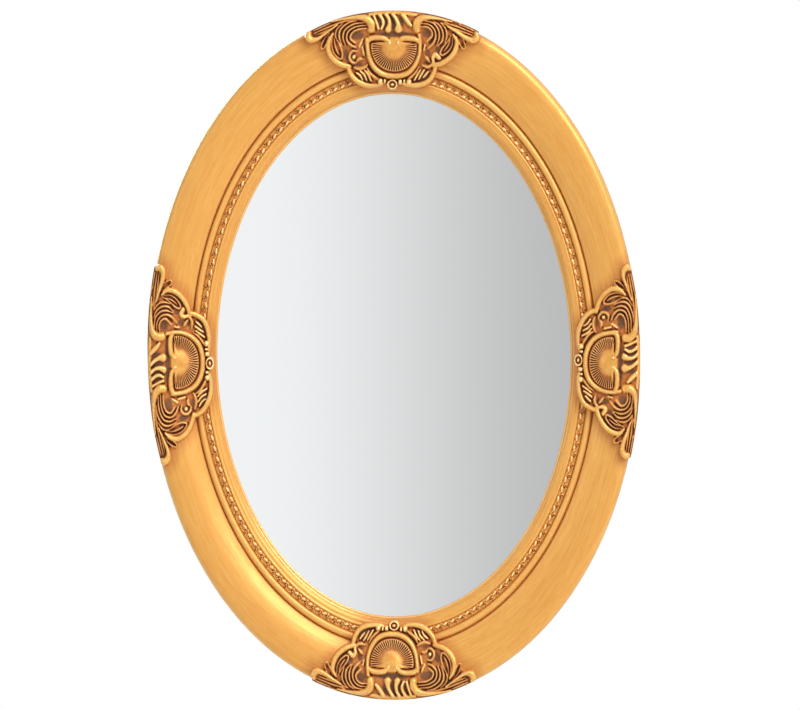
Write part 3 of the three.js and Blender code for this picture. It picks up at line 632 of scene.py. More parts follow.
class Finish(Nodes):
    """The nodes of a new material with one Principled shader."""

    def __init__(self, name):
        self.material = bpy.data.materials.new(name)
        self.material.use_nodes = True
        super().__init__(self.material.node_tree)

    def finish(self, **inputs):
        shader = self.tree.nodes["Principled BSDF"]
        for key, value in inputs.items():
            self.put(shader.inputs[key.replace("_", " ")], value)
        return self.material


GOLD = colour(233, 175, 88)
DEEP_GOLD = colour(216, 146, 60)
PALE_GOLD = colour(246, 206, 130)
BRIGHT_GOLD = colour(255, 232, 180)
# The glaze colours below serve the glaze and also painted shade; the pale and bright golds serve wear and
# painted highlights
ORANGE_GLAZE_AND_SHADE = colour(190, 112, 48)
BROWN_GLAZE_AND_SHADE = colour(122, 60, 14)
DARK_GLAZE_AND_SHADE = colour(72, 30, 3)
GREY_PIT = colour(108, 82, 60)


def moulding_finish():
    """Gilt brushed along the oval, brown glaze in the quirks, painted shade by the castings, painted
    highlights on crests.
    """
    f = Finish("gilt_moulding")
    streak = f.attribute("streak", "Vector")
    long_streak = f.noise(f.stretched(streak, (7.0, 7.0, 46.0)), 1.0, 4.0, 0.6)
    fine_streak = f.noise(f.stretched(streak, (20.0, 20.0, 190.0)), 1.0, 3.0, 0.6)
    hair = f.noise(f.stretched(streak, (38.0, 38.0, 520.0)), 1.0, 2.0, 0.5)
    cloud = f.noise(f.place(), 14.0, 4.0, 0.55)
    tone = f.maths("ADD", f.maths("MULTIPLY", long_streak, 0.55), f.maths("MULTIPLY", fine_streak, 0.45))
    base = f.mix(f.remap(tone, 0.36, 0.64), DEEP_GOLD, GOLD)
    base = f.over(base, hair, 0.52, 0.8, PALE_GOLD, 0.35)
    base = f.over(base, cloud, 0.42, 0.72, DEEP_GOLD, 0.3)
    # Painted shade beside the castings: the moulding turns orange-brown there
    casting_shade = f.maths("MULTIPLY", f.attribute("casting_shade"), f.remap(tone, 0.3, 0.62, 1.0, 0.55))
    base = f.mix(f.maths("MULTIPLY", casting_shade, 0.75), base, ORANGE_GLAZE_AND_SHADE)
    # Wear and painted highlight: the crests turn pale gold, and bright gold where strongest
    wear_and_highlight = f.maths("MULTIPLY", f.attribute("crest"), f.remap(fine_streak, 0.3, 0.6, 0.45, 1.0), True)
    base = f.mix(wear_and_highlight, base, PALE_GOLD)
    base = f.over(base, wear_and_highlight, 0.75, 1.0, BRIGHT_GOLD)
    hollow = f.maths("MULTIPLY", f.attribute("hollow"), f.remap(cloud, 0.3, 0.6, 0.8, 1.05), True)
    base = f.over(base, hollow, 0.05, 0.6, ORANGE_GLAZE_AND_SHADE, 0.85)
    base = f.over(base, hollow, 0.45, 0.95, BROWN_GLAZE_AND_SHADE)
    rough = f.remap(tone, 0.3, 0.7, 0.46, 0.37)
    height = f.maths("ADD", f.maths("MULTIPLY", fine_streak, 0.7), f.maths("MULTIPLY", hair, 0.3))
    return f.finish(Base_Color=base, Metallic=0.35, Roughness=rough, Normal=f.bump(height, 0.00012, 0.6),
                    Coat_Weight=0.16, Coat_Roughness=0.35)


def casting_finish():
    """The same gilt on the castings: crests worn with painted highlights, over dark glaze and painted shade
    in the hollows.
    """
    f = Finish("gilt_casting")
    place = f.place()
    cloud = f.noise(place, 60.0, 4.0, 0.6)
    speck = f.noise(place, 900.0, 3.0, 0.65)
    grain = f.noise(place, 330.0, 3.0, 0.6)
    base = f.mix(f.remap(cloud, 0.35, 0.65), DEEP_GOLD, GOLD)
    base = f.over(base, grain, 0.5, 0.75, PALE_GOLD, 0.35)
    # Wear and painted highlight: the castings' crests turn pale gold, and bright gold where strongest
    wear_and_highlight = f.maths("MULTIPLY", f.attribute("crest"), f.remap(grain, 0.3, 0.6, 0.7, 1.1), True)
    base = f.over(base, wear_and_highlight, 0.1, 0.8, PALE_GOLD)
    base = f.over(base, wear_and_highlight, 0.7, 1.1, BRIGHT_GOLD)
    hollow = f.maths("MULTIPLY", f.attribute("hollow"), f.remap(cloud, 0.3, 0.65, 0.85, 1.15), True)
    base = f.over(base, hollow, 0.08, 0.42, ORANGE_GLAZE_AND_SHADE)
    base = f.over(base, hollow, 0.34, 0.72, BROWN_GLAZE_AND_SHADE)
    base = f.over(base, hollow, 0.7, 1.0, DARK_GLAZE_AND_SHADE)
    pit = f.maths("MULTIPLY", f.attribute("pit"), f.remap(speck, 0.4, 0.6, 0.35, 1.0), True)
    base = f.mix(f.maths("MULTIPLY", pit, 0.85), base, GREY_PIT)
    rough = f.remap(hollow, 0.1, 0.8, 0.36, 0.75)
    return f.finish(Base_Color=base, Metallic=0.35, Roughness=rough, Normal=f.bump(speck, 0.00012, 0.5),
                    Coat_Weight=0.06, Coat_Roughness=0.3)


def wood_finish():
    """The bare back of the moulding: pale wood with gilt overspray towards its outer edge."""
    f = Finish("bare_wood_back")
    place = f.place()
    grain = f.noise(f.stretched(place, (28.0, 28.0, 320.0)), 1.0, 5.0, 0.6, 0.6)
    pore = f.noise(f.stretched(place, (120.0, 120.0, 1500.0)), 1.0, 2.0, 0.5)
    cloud = f.noise(place, 9.0, 3.0, 0.6)
    base = f.mix(f.remap(grain, 0.35, 0.68), colour(214, 180, 136), colour(178, 136, 92))
    base = f.over(base, pore, 0.56, 0.75, colour(128, 88, 54), 0.5)
    base = f.over(base, cloud, 0.45, 0.7, colour(196, 158, 112), 0.3)
    spray = f.noise(place, 420.0, 4.0, 0.7)
    share = f.part(f.attribute("streak", "Vector"), "Z")
    reach = f.maths("ADD", f.remap(share, 0.78, 0.99), f.remap(spray, 0.35, 0.65, -0.45, 0.3))
    base = f.over(base, reach, 0.35, 0.65, GOLD)
    return f.finish(Base_Color=base, Roughness=f.remap(grain, 0.3, 0.7, 0.72, 0.6),
                    Normal=f.bump(grain, 0.0002, 0.5))


def board_finish():
    """Brown hardboard: a smooth pressed face with fine fibres and a few darker flecks."""
    f = Finish("hardboard")
    place = f.place()
    fibre = f.noise(f.stretched(place, (500.0, 500.0, 170.0)), 1.0, 4.0, 0.65, 1.2)
    fleck = f.noise(f.stretched(place, (900.0, 900.0, 420.0)), 1.0, 2.0, 0.5)
    cloud = f.noise(place, 7.0, 4.0, 0.55)
    base = f.mix(f.remap(fibre, 0.35, 0.65), colour(116, 80, 50), colour(140, 101, 66))
    base = f.over(base, cloud, 0.4, 0.7, colour(104, 70, 44), 0.45)
    base = f.over(base, fleck, 0.66, 0.8, colour(72, 45, 27), 0.6)
    return f.finish(Base_Color=base, Roughness=f.remap(fibre, 0.3, 0.7, 0.62, 0.5),
                    Normal=f.bump(fibre, 0.00008, 0.5))


def steel_finish():
    """Zinc-plated steel with a yellow tinge and rolled marks along its length."""
    f = Finish("plated_steel")
    place = f.place()
    rolled = f.noise(f.stretched(place, (120.0, 900.0, 2400.0)), 1.0, 3.0, 0.6)
    stain = f.noise(place, 160.0, 4.0, 0.6)
    base = f.mix(f.remap(stain, 0.4, 0.7), colour(214, 205, 180), colour(190, 172, 128))
    return f.finish(Base_Color=base, Metallic=1.0, Roughness=f.remap(rolled, 0.3, 0.7, 0.28, 0.42),
                    Normal=f.bump(rolled, 0.00003, 0.6))


def mirror_finish():
    """Silvered glass: a clear face with the faintest smears in its polish."""
    f = Finish("silvered_glass")
    smear = f.noise(f.place(), 9.0, 3.0, 0.5)
    return f.finish(Base_Color=(0.955, 0.965, 0.965, 1.0), Metallic=1.0,
                    Roughness=f.remap(smear, 0.4, 0.7, 0.012, 0.02))


# Moulding

def moulding_rows():
    """The moulding's cross-section from the rebate round the front to the back, as four runs of rows."""
    low, high = BAND_SHARES
    bed_depth = BAND_DEPTH - BED_DEPTH
    bevel_share, bevel_depth = REBATE_BEVEL
    before = np.vstack([spline(run, RUN_STEPS)[:-1] for run in FRONT_RUNS])
    bed = np.array([(low, BAND_DEPTH), (low + BED_WALL, bed_depth), (high - BED_WALL, bed_depth),
                    (high, BAND_DEPTH)])
    after = np.vstack([spline(run, RUN_STEPS)[:-1] for run in OUTER_RUNS] + [[OUTER_RUNS[-1][-1]]])
    flat = [(share, 0.0) for share in BACK_SHARES]
    corner = [(REBATE_SHARE + bevel_share, 0.0), (REBATE_SHARE, bevel_depth), (REBATE_SHARE, REBATE_DEPTH)]
    return before, bed, after, np.array(flat + corner)


def front_profile():
    """The moulding's front that the castings lie on, as [share, depth] in order of share."""
    before, bed, after, _ = moulding_rows()
    front = np.vstack([before[LIP_ROWS:], bed, after[:-SIDE_ROWS]])
    return front[np.argsort(front[:, 0])]


def shade_beside_castings(angle, share, depth):
    """How much painted shade a place of the moulding gets from a casting: 1 beside it, 0 from the halo's
    width on.
    """
    casting_shade = np.zeros(angle.shape)
    if depth < HALO_DEPTH:
        return casting_shade
    v = share * SHEET_HEIGHT
    for middle, half_span in SITES.values():
        turn = (np.degrees(angle) - middle + 180) % 360 - 180
        x = -turn / half_span * SHEET_HALF_LENGTH
        near = np.abs(x) < SHEET_HALF_LENGTH + HALO_MARGIN
        away = -polygon_distance(x[near], np.full(near.sum(), v), OUTLINE)
        casting_shade[near] = np.maximum(casting_shade[near], 1 - smoothstep(0.0, HALO_WIDTH, away))
    return casting_shade


def line_tone(share, depth, lines):
    """The strongest of the lines of glaze or wear at a place of the moulding's front."""
    if depth <= TONED_DEPTH:
        return 0.0
    return max(amount * math.exp(-((share - at) / width) ** 2) for at, width, amount in lines)


def ring_piece(name, rows, steps, materials, crease):
    """A ring from rows of [share, depth, place across the brush marks, glaze, wear with painted highlight].

    Depth, glaze, and wear with painted highlight are one number, or an array with one for each step round the
    oval.
    """
    angle = 2 * np.pi * np.arange(steps) / steps
    points, hollow, crest, casting_shade, streak = [], [], [], [], []
    for share, depth, across, glaze, wear_highlight in rows:
        points.append(oval(angle, share, depth))
        hollow.append(np.broadcast_to(glaze, steps))
        crest.append(np.broadcast_to(wear_highlight, steps))
        # Painted shade on the moulding beside the castings
        casting_shade.append(shade_beside_castings(angle, share, np.min(depth)))
        streak.append(np.stack([np.cos(angle), np.sin(angle), np.full(steps, across)], axis=1))
    fields = {"hollow": hollow, "crest": crest, "casting_shade": casting_shade, "streak": streak}
    values = {key: np.concatenate(field) for key, field in fields.items()}
    return make_piece(name, np.concatenate(points), ring_faces(len(rows), steps), materials, values, crease)


def moulding_piece(gilt, wood):
    """The moulding as one ring, with glaze in its quirks and wear with painted highlights on its crests."""
    rows = [(share, depth, share + depth * STREAK_SHIFT, line_tone(share, depth, QUIRK_GLAZE),
             line_tone(share, depth, CREST_WEAR_AND_HIGHLIGHT)) for share, depth in np.vstack(moulding_rows())]
    return ring_piece("frame_moulding_gilt", rows, MOULDING_STEPS, [gilt, wood], CREASE_ANGLE)


def recess_box():
    """The two corners of the hanger's recess, from the hanger's own box."""
    low, high = np.array(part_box("sawtooth_hanger")) * TO_MILLIMETRES
    low -= RECESS_MARGIN
    high += RECESS_MARGIN
    low[1], high[1] = -RECESS_DEPTH, RECESS_DEPTH
    return low, high


def cut_recess(moulding, low, high):
    """Sinks the hanger's recess into the moulding's back."""
    corners = np.array(list(itertools.product(*zip(low, high))))
    sides = [[0, 1, 3, 2], [4, 6, 7, 5], [0, 4, 5, 1], [2, 3, 7, 6], [0, 2, 6, 4], [1, 5, 7, 3]]
    cutter = make_piece("recess_cutter", corners, sides, [])
    cut = moulding.modifiers.new("recess", "BOOLEAN")
    cut.operation = "DIFFERENCE"
    cut.object = cutter
    cut.solver = "FAST"
    bpy.context.view_layer.update()
    result = bpy.data.meshes.new_from_object(moulding.evaluated_get(bpy.context.evaluated_depsgraph_get()))
    moulding.modifiers.clear()
    moulding.data = result
    bpy.data.objects.remove(cutter)
    result.shade_smooth()
    result.set_sharp_from_angle(angle=math.radians(CREASE_ANGLE))


def bare_the_back(mesh, low, high):
    """Gives the moulding's second material to its back, its rebate and the hanger's recess."""
    centres, normals = np.zeros((2, len(mesh.polygons), 3))
    mesh.polygons.foreach_get("center", centres.ravel())
    mesh.polygons.foreach_get("normal", normals.ravel())
    centres *= TO_MILLIMETRES
    half_x, half_z = half_axes(REBATE_SHARE + BARE_SHARE_SLACK)
    in_rebate = np.hypot(centres[:, 0] / half_x, centres[:, 2] / half_z) < 1
    in_rebate &= centres[:, 1] > -REBATE_DEPTH - BARE_SLACK
    in_recess = np.all((centres > low - BARE_SLACK) & (centres < high + BARE_SLACK), axis=1)
    in_back = (normals[:, 1] > BARE_FACING) & (centres[:, 1] > -BARE_LAYER)
    mesh.polygons.foreach_set("material_index", (in_back | in_rebate | in_recess).astype(np.int32))


# Leaf band

def leaf_relief(along, across):
    """One repeat of the running leaf, from its place along and across the band in millimetres."""

    def away(centre, radii, lean=0.0):
        run = (along - centre[0] + LEAF_LENGTH / 2) % LEAF_LENGTH - LEAF_LENGTH / 2
        rise = across - centre[1]
        turned = (run * math.cos(lean) + rise * math.sin(lean), rise * math.cos(lean) - run * math.sin(lean))
        return np.hypot(turned[0] / radii[0], turned[1] / radii[1])

    def ridge(distance, form):
        return form["height"] * np.clip(1 - (distance / form["half_width"]) ** 2, 0, 1)

    phase = 2 * np.pi * (along / LEAF_LENGTH - STEM["start"])
    wave = STEM["middle"] + STEM["swing"] * np.cos(phase + STEM["lean"] * np.sin(phase))
    curl_radii = (CURL["radius"], CURL["radius"])
    forms = [ridge(across - wave, STEM), ridge(away(CURL["centre"], curl_radii) - 1, CURL),
             ridge(np.abs(across) - RIB["across"], RIB) + 0 * along]
    for centre, radii, lean, height, fullness in LEAF_FORMS:
        forms.append(height * np.clip(1 - away(centre, radii, lean) ** 2, 0, 1) ** fullness)
    return np.maximum.reduce(forms)


def leaf_band_piece(gilt):
    """The pressed strip of running leaf in its bed, a ring with a flat back."""
    repeat = np.arange(LEAF_STEPS) / LEAF_STEPS * LEAF_LENGTH
    across = np.linspace(-1, 1, LEAF_ROWS) * LEAF_HALF_WIDTH
    tile = leaf_relief(repeat[:, None], across[None, :])
    tile[:, 0] = tile[:, -1] = 0
    # Hollows are looked for in three repeats, so that the middle one meets its neighbours
    around = np.tile(tile, (3, 1))
    groove = (closed(around, LEAF_CELLS) - around)[LEAF_STEPS:2 * LEAF_STEPS]
    low = (blurred(around, LEAF_CELLS) - around)[LEAF_STEPS:2 * LEAF_STEPS]
    dark = LEAF_FLOOR_GLAZE * (tile < LEAF_FLOOR) + LEAF_GROOVE_GLAZE * smoothstep(*LEAF_GROOVES, groove)
    dark = np.clip(dark + LEAF_LOW_DARKENING * np.clip(low, 0, 1), 0, 1)
    # Wear with a painted highlight on the leaf's crests and slopes
    bright = LEAF_CREST_WEAR_AND_HIGHLIGHT * smoothstep(*LEAF_CRESTS, tile)
    bright = bright + LEAF_SLOPE_WEAR_AND_HIGHLIGHT * smoothstep(*LEAF_SLOPES, tile)
    # The strip's sides go down to its flat back in one more row at each edge
    flat = np.full(LEAF_STEPS, BED_GAP - BED_DEPTH)
    relief = np.column_stack([flat, tile * LEAF_HEIGHT, flat])
    dark = np.column_stack([dark[:, -1], dark, dark[:, -1]])
    bright = np.column_stack([bright[:, -1], bright, bright[:, -1]])
    shares = np.linspace(BAND_SHARES[0] + BED_PLAY, BAND_SHARES[1] - BED_PLAY, LEAF_ROWS)
    shares = np.concatenate([shares[:1], shares, shares[-1:]])
    # Each repeat gets a random share of its wear and painted highlight
    least_wear_highlight, wear_highlight_range = WEAR_HIGHLIGHT_RANGE
    draws = np.random.default_rng(WEAR_HIGHLIGHT_SEED).random(LEAF_REPEATS)
    wear_highlight = least_wear_highlight + wear_highlight_range * np.repeat(draws, LEAF_STEPS)
    rows = [(share, BAND_DEPTH + np.tile(relief[:, row], LEAF_REPEATS), share,
             np.tile(dark[:, row], LEAF_REPEATS), np.clip(np.tile(bright[:, row], LEAF_REPEATS) * wear_highlight, 0, 1))
            for row, share in enumerate(shares)]
    return ring_piece("leaf_band_gilt", rows, LEAF_REPEATS * LEAF_STEPS, [gilt], LEAF_CREASE_ANGLE)


# Castings

def plate_top(v):
    """Depth of the casting's plain face at a height on the sheet."""
    shares, depths = zip(*GROUND)
    return np.interp(v / SHEET_HEIGHT, shares, depths) + PLATE_THICKNESS


def shell_relief(x, v):
    """A plain dome that runs out into flutes with rounded tips: its height, glaze, and crests rubbed with a
    painted highlight.
    """
    across, up = scaled(x, v, SHELL_CENTRE, SHELL_FIELD)
    reach = np.hypot(across, up)
    within = reach < 1
    start, end = SHELL_TURNS
    stretch = ((start - np.degrees(np.arctan2(up, across))) % 360) / (start - end)
    wave = 0.5 - 0.5 * np.cos(2 * np.pi * stretch * SHELL_FLUTES)
    tip = FLUTE_TIP - FLUTE_SCALLOP * (1 - wave)
    ended = smoothstep(tip - FLUTE_SCALLOP, tip, reach)
    fluted = (stretch < 1) * smoothstep(*FLUTE_START, reach) * (1 - ended)
    lid = np.interp(np.abs(x - SHELL_CENTRE[0]), *SHELL_LID)
    below = 1 - smoothstep(lid + LID_FADE[0], lid + LID_FADE[1], v)
    dome = 1 - INNER_FALL * smoothstep(*INNER_STEP, reach) - OUTER_FALL * smoothstep(*OUTER_STEP, reach)
    height = SHELL_DOME * dome * below + FLUTE_HEIGHT * fluted * (wave ** FLUTE_FULLNESS - FLUTE_LEVEL)
    sharpness = GAP_SHARPNESS - GAP_NARROWING * smoothstep(*NARROWING_STEP, reach)
    gaps = GAP_GLAZE * fluted * (1 - wave) ** sharpness
    gaps = gaps + SHELL_BORDER_GLAZE * smoothstep(*SHELL_BORDER, reach)
    glaze = np.where(within & (stretch < 1), gaps, 0)
    # The flutes' tops get wear with a painted highlight
    rub_and_highlight = np.where(within, fluted * smoothstep(*FLUTE_TOPS, wave), 0)
    return np.where(within, np.maximum(height, 0), 0), glaze, rub_and_highlight


class Sheet:
    """The casting drawn flat, as grids of values that each form changes in turn."""

    def __init__(self):
        end = SHEET_HALF_LENGTH + SHEET_MARGIN
        x = np.linspace(-end, end, SHEET_COLUMNS)
        top = np.interp(x, *zip(*UPPER_EDGE))
        share = np.linspace(0, 1, SHEET_ROWS)
        self.x = np.repeat(x[:, None], SHEET_ROWS, axis=1)
        self.v = LOWEST_ROW + (top[:, None] - LOWEST_ROW) * share[None, :]
        self.inward = polygon_distance(self.x, self.v, OUTLINE) - OUTLINE_INSET
        self.height, self.glaze, self.rub_and_highlight = shell_relief(self.x, self.v)
        self.plain = (self.height <= 0) * 1.0
        self.pit = np.zeros(self.x.shape)

    def lay(self, away, rise, fullness, wear_highlight, wash=None):
        """Lays a round-topped form over what is lower: away is 0 on its crest and 1 at its foot."""
        top = 1 - away ** 2
        body = rise * np.clip(top, 0, 1) ** fullness
        over = (away < 1) & (body > self.height)
        self.height = np.where(over, body, self.height)
        # Wear with a painted highlight on the form's top
        self.rub_and_highlight = np.where(over, wear_highlight * top, self.rub_and_highlight)
        if wash is not None:
            self.glaze = np.where(over, wash, self.glaze)

    def sink_pit(self, centre, radii, depth):
        patch = 1 - smoothstep(*PIT_FADE, np.hypot(*scaled(self.x, self.v, centre, radii)))
        self.pit = np.maximum(self.pit, patch)
        self.height = self.height - depth * patch

    def lay_stroke(self, path, widths, rise, taper, fullness, wear_highlight, wash):
        into, away, full = stroke_distances(self.x, self.v, path, widths, taper)
        self.lay(away, rise * full, fullness, wear_highlight, wash)
        self.inward = np.maximum(self.inward, into + STROKE_FOOT)
        self.plain = np.where(away < PLAIN_MARGIN, 0, self.plain)
        self.pit = np.where(away < 1, self.pit * smoothstep(0.5, 1, away), self.pit)

    def lay_knob(self, centre, radii, rise):
        across, up = np.abs(scaled(self.x, self.v, centre, radii))
        away = (across ** KNOB_SQUARENESS + up ** KNOB_SQUARENESS) ** (1 / KNOB_SQUARENESS)
        self.lay(away, rise, KNOB_FULLNESS, ROUND_WEAR_AND_HIGHLIGHT)
        self.inward = np.maximum(self.inward, (1 - away) * min(radii))
        self.plain = np.where(away < PLAIN_MARGIN, 0, self.plain)
        self.pit = np.where(away < 1, 0, self.pit)

    def fill_pits(self):
        """Brings what is below the plate's face up to it, with no wash and no wear or painted highlight
        there.
        """
        sunk = self.height < 0
        self.height = np.where(sunk, 0, self.height)
        self.glaze = np.where(sunk, 0, self.glaze)
        self.rub_and_highlight = np.where(sunk, 0, self.rub_and_highlight)

    def lay_rosette(self, centre, radius, width, rise):
        from_centre = np.hypot(*scaled(self.x, self.v, centre, (ROSETTE_ASPECT, 1)))
        inside = from_centre < radius
        self.height = np.where(inside, np.maximum(self.height, rise * ROSETTE_FLOOR), self.height)
        self.lay(np.abs(from_centre - radius) / (width / 2), rise, ROSETTE_FULLNESS, ROUND_WEAR_AND_HIGHLIGHT, 0)
        self.inward = np.maximum(self.inward, radius + width / 2 + ROSETTE_FOOT - from_centre)
        self.plain = np.where(from_centre < radius + width / 2, 0, self.plain)

    def settle(self, stipple):
        """Roughens the pits, softens the relief a little and glazes the bare plate."""
        self.height = self.height + STIPPLE_HEIGHT * self.pit * stipple
        self.height = blurred(self.height, 1, passes=1) * SOFT_PART + self.height * SHARP_PART
        self.glaze = np.maximum(self.glaze, PLATE_GLAZE * blurred(self.plain, 1))


def draw_sheet():
    """The casting's whole drawing, which all four castings share."""
    sheet = Sheet()
    noise = np.random.default_rng(STIPPLE_SEED).normal(0, 1, sheet.x.shape)
    for pit in PITS:
        sheet.sink_pit(*pit)
    for strokes, *kind in STROKE_KINDS:
        for stroke in strokes:
            sheet.lay_stroke(*stroke, *kind)
    for knob in KNOBS:
        sheet.lay_knob(*knob)
    sheet.fill_pits()
    sheet.lay_rosette(*ROSETTE)
    sheet.settle(blurred(noise, 1, passes=1))
    return sheet


def casting_tones(sheet):
    """How deep in glaze and painted shade, how worn and painted bright, and how stippled each point is, by
    name.
    """
    fine = sheet.height - blurred(sheet.height, FINE_CELLS)
    broad = sheet.height - blurred(sheet.height, BROAD_CELLS)
    groove = closed(sheet.height, GROOVE_CELLS) - sheet.height
    clear = smoothstep(*BORDER_CLEAR, sheet.inward)
    # Glaze in narrow grooves, painted shade beside higher relief, and darker where the relief is broadly
    # lower
    hollow = (GROOVE_WEIGHT * smoothstep(*GROOVE_DEPTHS, groove)
              + FINE_WEIGHT * np.clip(-fine / FINE_DEPTH, 0, 1)
              + BROAD_WEIGHT * np.clip(-broad / BROAD_DEPTH, 0, 1))
    hollow = np.clip((hollow + WASH_WEIGHT * sheet.glaze + PIT_WEIGHT * sheet.pit) * clear, 0, 1)
    # Painted contact shadow along the outline
    hollow = np.maximum(hollow, BORDER_SHADE * (1 - smoothstep(*BORDER_SHADE_REACH, sheet.inward)))
    # Painted highlight on edges above the relief around, where the form is worn
    edges = CREST_WEIGHT * np.clip(fine / CREST_HEIGHT, 0, 1) * (sheet.rub_and_highlight > LEAST_WEAR_HIGHLIGHT)
    crest = blurred(np.clip(sheet.rub_and_highlight + edges, 0, 1) * clear, 1, passes=1)
    return {"hollow": blurred(hollow, 1, passes=1), "crest": crest, "pit": sheet.pit * (1 - crest)}


def casting_points(name, sheet, profile):
    """The sheet's points laid on the moulding at a casting's site, and rows that turn over the rim."""
    middle, half_span = SITES[name]
    angle = np.radians(middle - sheet.x / SHEET_HALF_LENGTH * half_span)
    share = sheet.v / SHEET_HEIGHT
    body = smoothstep(0.0, BORDER_RISE, sheet.inward)
    under = np.minimum(share, RIM_SHARE)
    buried = np.interp(under, profile[:, 0], profile[:, 1]) - BURIED_DEPTH
    risen = buried + (plate_top(sheet.v) - buried) * body + sheet.height * body ** 0.5
    depth = np.where(sheet.inward > 0, risen, buried)
    lying = under + (share - under) * body
    rows = [oval(angle, lying, depth)]
    angle, lying, depth, body = (field[:, -1:] for field in (angle, lying, depth, body))
    for out, down in RIM_TURN:
        rows.append(oval(angle, lying + out * body, np.maximum(depth - down, RIM_LEAST_DEPTH)))
    rows.append(oval(angle, RIM_SHARE, RIM_END_DEPTH))
    return np.concatenate(rows, axis=1)


def casting_piece(name, sheet, tones, profile, gilt):
    """One casting, with the cells that lie in its outline at one corner or more."""
    points = casting_points(name, sheet, profile)
    columns, rows = points.shape[:2]
    turned = [(0, 0), (0, rows - sheet.x.shape[1])]
    index = np.arange(columns * rows).reshape(columns, rows)
    inside = np.pad(sheet.inward, turned, mode="edge") > 0
    cells = inside[:-1, :-1] | inside[1:, :-1] | inside[1:, 1:] | inside[:-1, 1:]
    quads = np.stack([index[:-1, :-1], index[1:, :-1], index[1:, 1:], index[:-1, 1:]], axis=-1)[cells]
    used, faces = np.unique(quads, return_inverse=True)
    values = {key: np.pad(field, turned, constant_values=SIDE_TONES[key]).ravel()[used]
              for key, field in tones.items()}
    faces = faces.reshape(quads.shape).tolist()
    return make_piece(name + "_carved", points.reshape(-1, 3)[used], faces, [gilt], values)


# Board

def board_piece(material):
    """The backing board: an oval sheet with broken edges, a little inside its rebate."""
    edge = REBATE_SHARE - BOARD_PLAY / ((FRAME_WIDTH - SIGHT_WIDTH) / 2)
    angle = 2 * np.pi * np.arange(BOARD_STEPS) / BOARD_STEPS
    points = np.concatenate([oval(angle, edge - into, depth) for into, depth in BOARD_SECTION])
    first_of_last = (len(BOARD_SECTION) - 1) * BOARD_STEPS
    faces = []
    for first in range(0, first_of_last, BOARD_STEPS):
        faces += round_quads(first, first + BOARD_STEPS, BOARD_STEPS)[:, [0, 3, 2, 1]].tolist()
    i = np.arange(BOARD_STEPS)
    faces += [i[::-1].tolist(), (first_of_last + i).tolist()]
    return make_piece("backing_board_sheet", points, faces, [material], crease=BOARD_CREASE_ANGLE)


# Camera and studio

def make_camera():
    """The camera that sees the mirror as the picture does."""
    data = bpy.data.cameras.new("camera")
    data.sensor_width = SENSOR_WIDTH
    data.lens = SENSOR_WIDTH * -CAMERA_PLACE[1] / VIEW_WIDTH
    camera = bpy.data.objects.new("camera", data)
    camera.location = CAMERA_PLACE
    camera.rotation_euler = (math.pi / 2, math.radians(CAMERA_ROLL), 0)
    bpy.context.scene.collection.objects.link(camera)
    bpy.context.scene.camera = camera


def make_world():
    """A white surround for the camera, and a soft grey one for light and reflections."""
    world = bpy.data.worlds.new("studio")
    bpy.context.scene.world = world
    world.use_nodes = True
    nodes = Nodes(world.node_tree)
    white = world.node_tree.nodes["Background"]
    nodes.put(white.inputs["Color"], WHITE)
    nodes.put(white.inputs["Strength"], 1.0)
    strength = nodes.remap(nodes.part(nodes.place("Generated"), "Z"), *WORLD_HEIGHTS, *WORLD_STRENGTHS)
    grey = nodes.add("ShaderNodeBackground", {"Color": WHITE, "Strength": strength})
    seen = nodes.add("ShaderNodeLightPath", {}).outputs["Is Camera Ray"]
    mixed = nodes.add("ShaderNodeMixShader", {0: seen, 1: grey.outputs[0], 2: white.outputs[0]})
    nodes.put(world.node_tree.nodes["World Output"].inputs["Surface"], mixed.outputs[0])


def area_light(name, location, size, power, tint):
    """A square light aimed at the origin."""
    data = bpy.data.lights.new(name, "AREA")
    data.energy = power
    data.size = size
    data.color = tint
    light = bpy.data.objects.new(name, data)
    light.location = location
    light.rotation_euler = (-Vector(location)).to_track_quat("-Z", "Y").to_euler()
    bpy.context.scene.collection.objects.link(light)


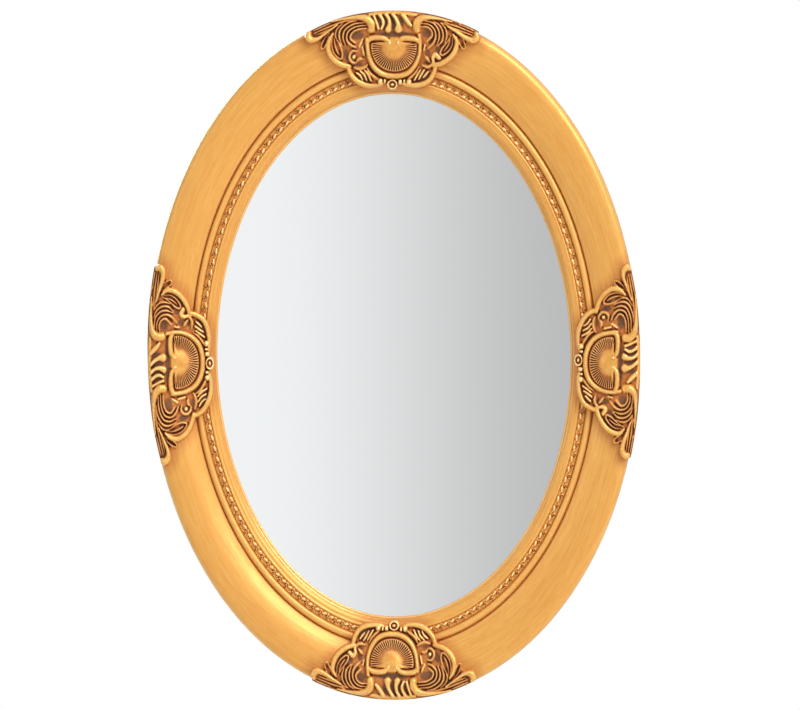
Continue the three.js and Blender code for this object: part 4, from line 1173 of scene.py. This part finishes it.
def mirror_card():
    """A glowing card behind the camera that the glass reflects: bright at the left, greyer to the right."""
    material = bpy.data.materials.new("reflected_card")
    material.use_nodes = True
    nodes = Nodes(material.node_tree)
    nodes.tree.nodes.clear()
    across = nodes.part(nodes.place(), "X")
    strength = nodes.remap(across, *CARD_STRETCH, *CARD_STRENGTHS, kind="SMOOTHSTEP")
    glow = nodes.add("ShaderNodeEmission", {"Color": CARD_TINT, "Strength": strength})
    nodes.add("ShaderNodeOutputMaterial", {"Surface": glow.outputs[0]})
    points = np.array([(x * CARD_HALF[0], CARD_Y, z * CARD_HALF[1]) for x, z in SQUARE])
    card = make_piece("reflected_card", points, [[0, 3, 2, 1]], [material])
    card.visible_camera = False
    card.visible_diffuse = False
    card.visible_shadow = False


def make_floor():
    """A pale floor well below the mirror, for views from above and from the side."""
    paint = Finish("pale_floor").finish(Base_Color=FLOOR_COLOUR, Roughness=0.7)
    points = np.array([(x * FLOOR_HALF, y * FLOOR_HALF, FLOOR_HEIGHT) for x, y in SQUARE])
    make_piece("floor", points, [[0, 1, 2, 3]], [paint])


# Pieces

def hand_over(piece, node):
    """Says that a new piece rides on the body, and hides the node it replaces."""
    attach(piece, "root")
    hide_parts(node)


def dress(node, material):
    """Gives a carried-over node its finish."""
    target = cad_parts[node]
    if not target.material_slots:
        target.data.materials.append(material)
    for slot in target.material_slots:
        slot.material = material


sheet = draw_sheet()
gilt = moulding_finish()
moulding = moulding_piece(gilt, wood_finish())
recess = recess_box()
cut_recess(moulding, *recess)
bare_the_back(moulding.data, *recess)
hand_over(moulding, "frame_moulding")
hand_over(leaf_band_piece(gilt), "frame_moulding")

profile = front_profile()
tones = casting_tones(sheet)
casting_gilt = casting_finish()
for site in SITES:
    hand_over(casting_piece(site, sheet, tones, profile, casting_gilt), site)

dress("mirror_glass", mirror_finish())
hand_over(board_piece(board_finish()), "backing_board")
steel = steel_finish()
for node in ("sawtooth_hanger", "hanger_nail_left", "hanger_nail_right"):
    dress(node, steel)

make_camera()
make_world()
mirror_card()
for name, light in LIGHTS.items():
    area_light(name, *light)
make_floor()
bpy.context.scene.view_settings.view_transform = "Standard"
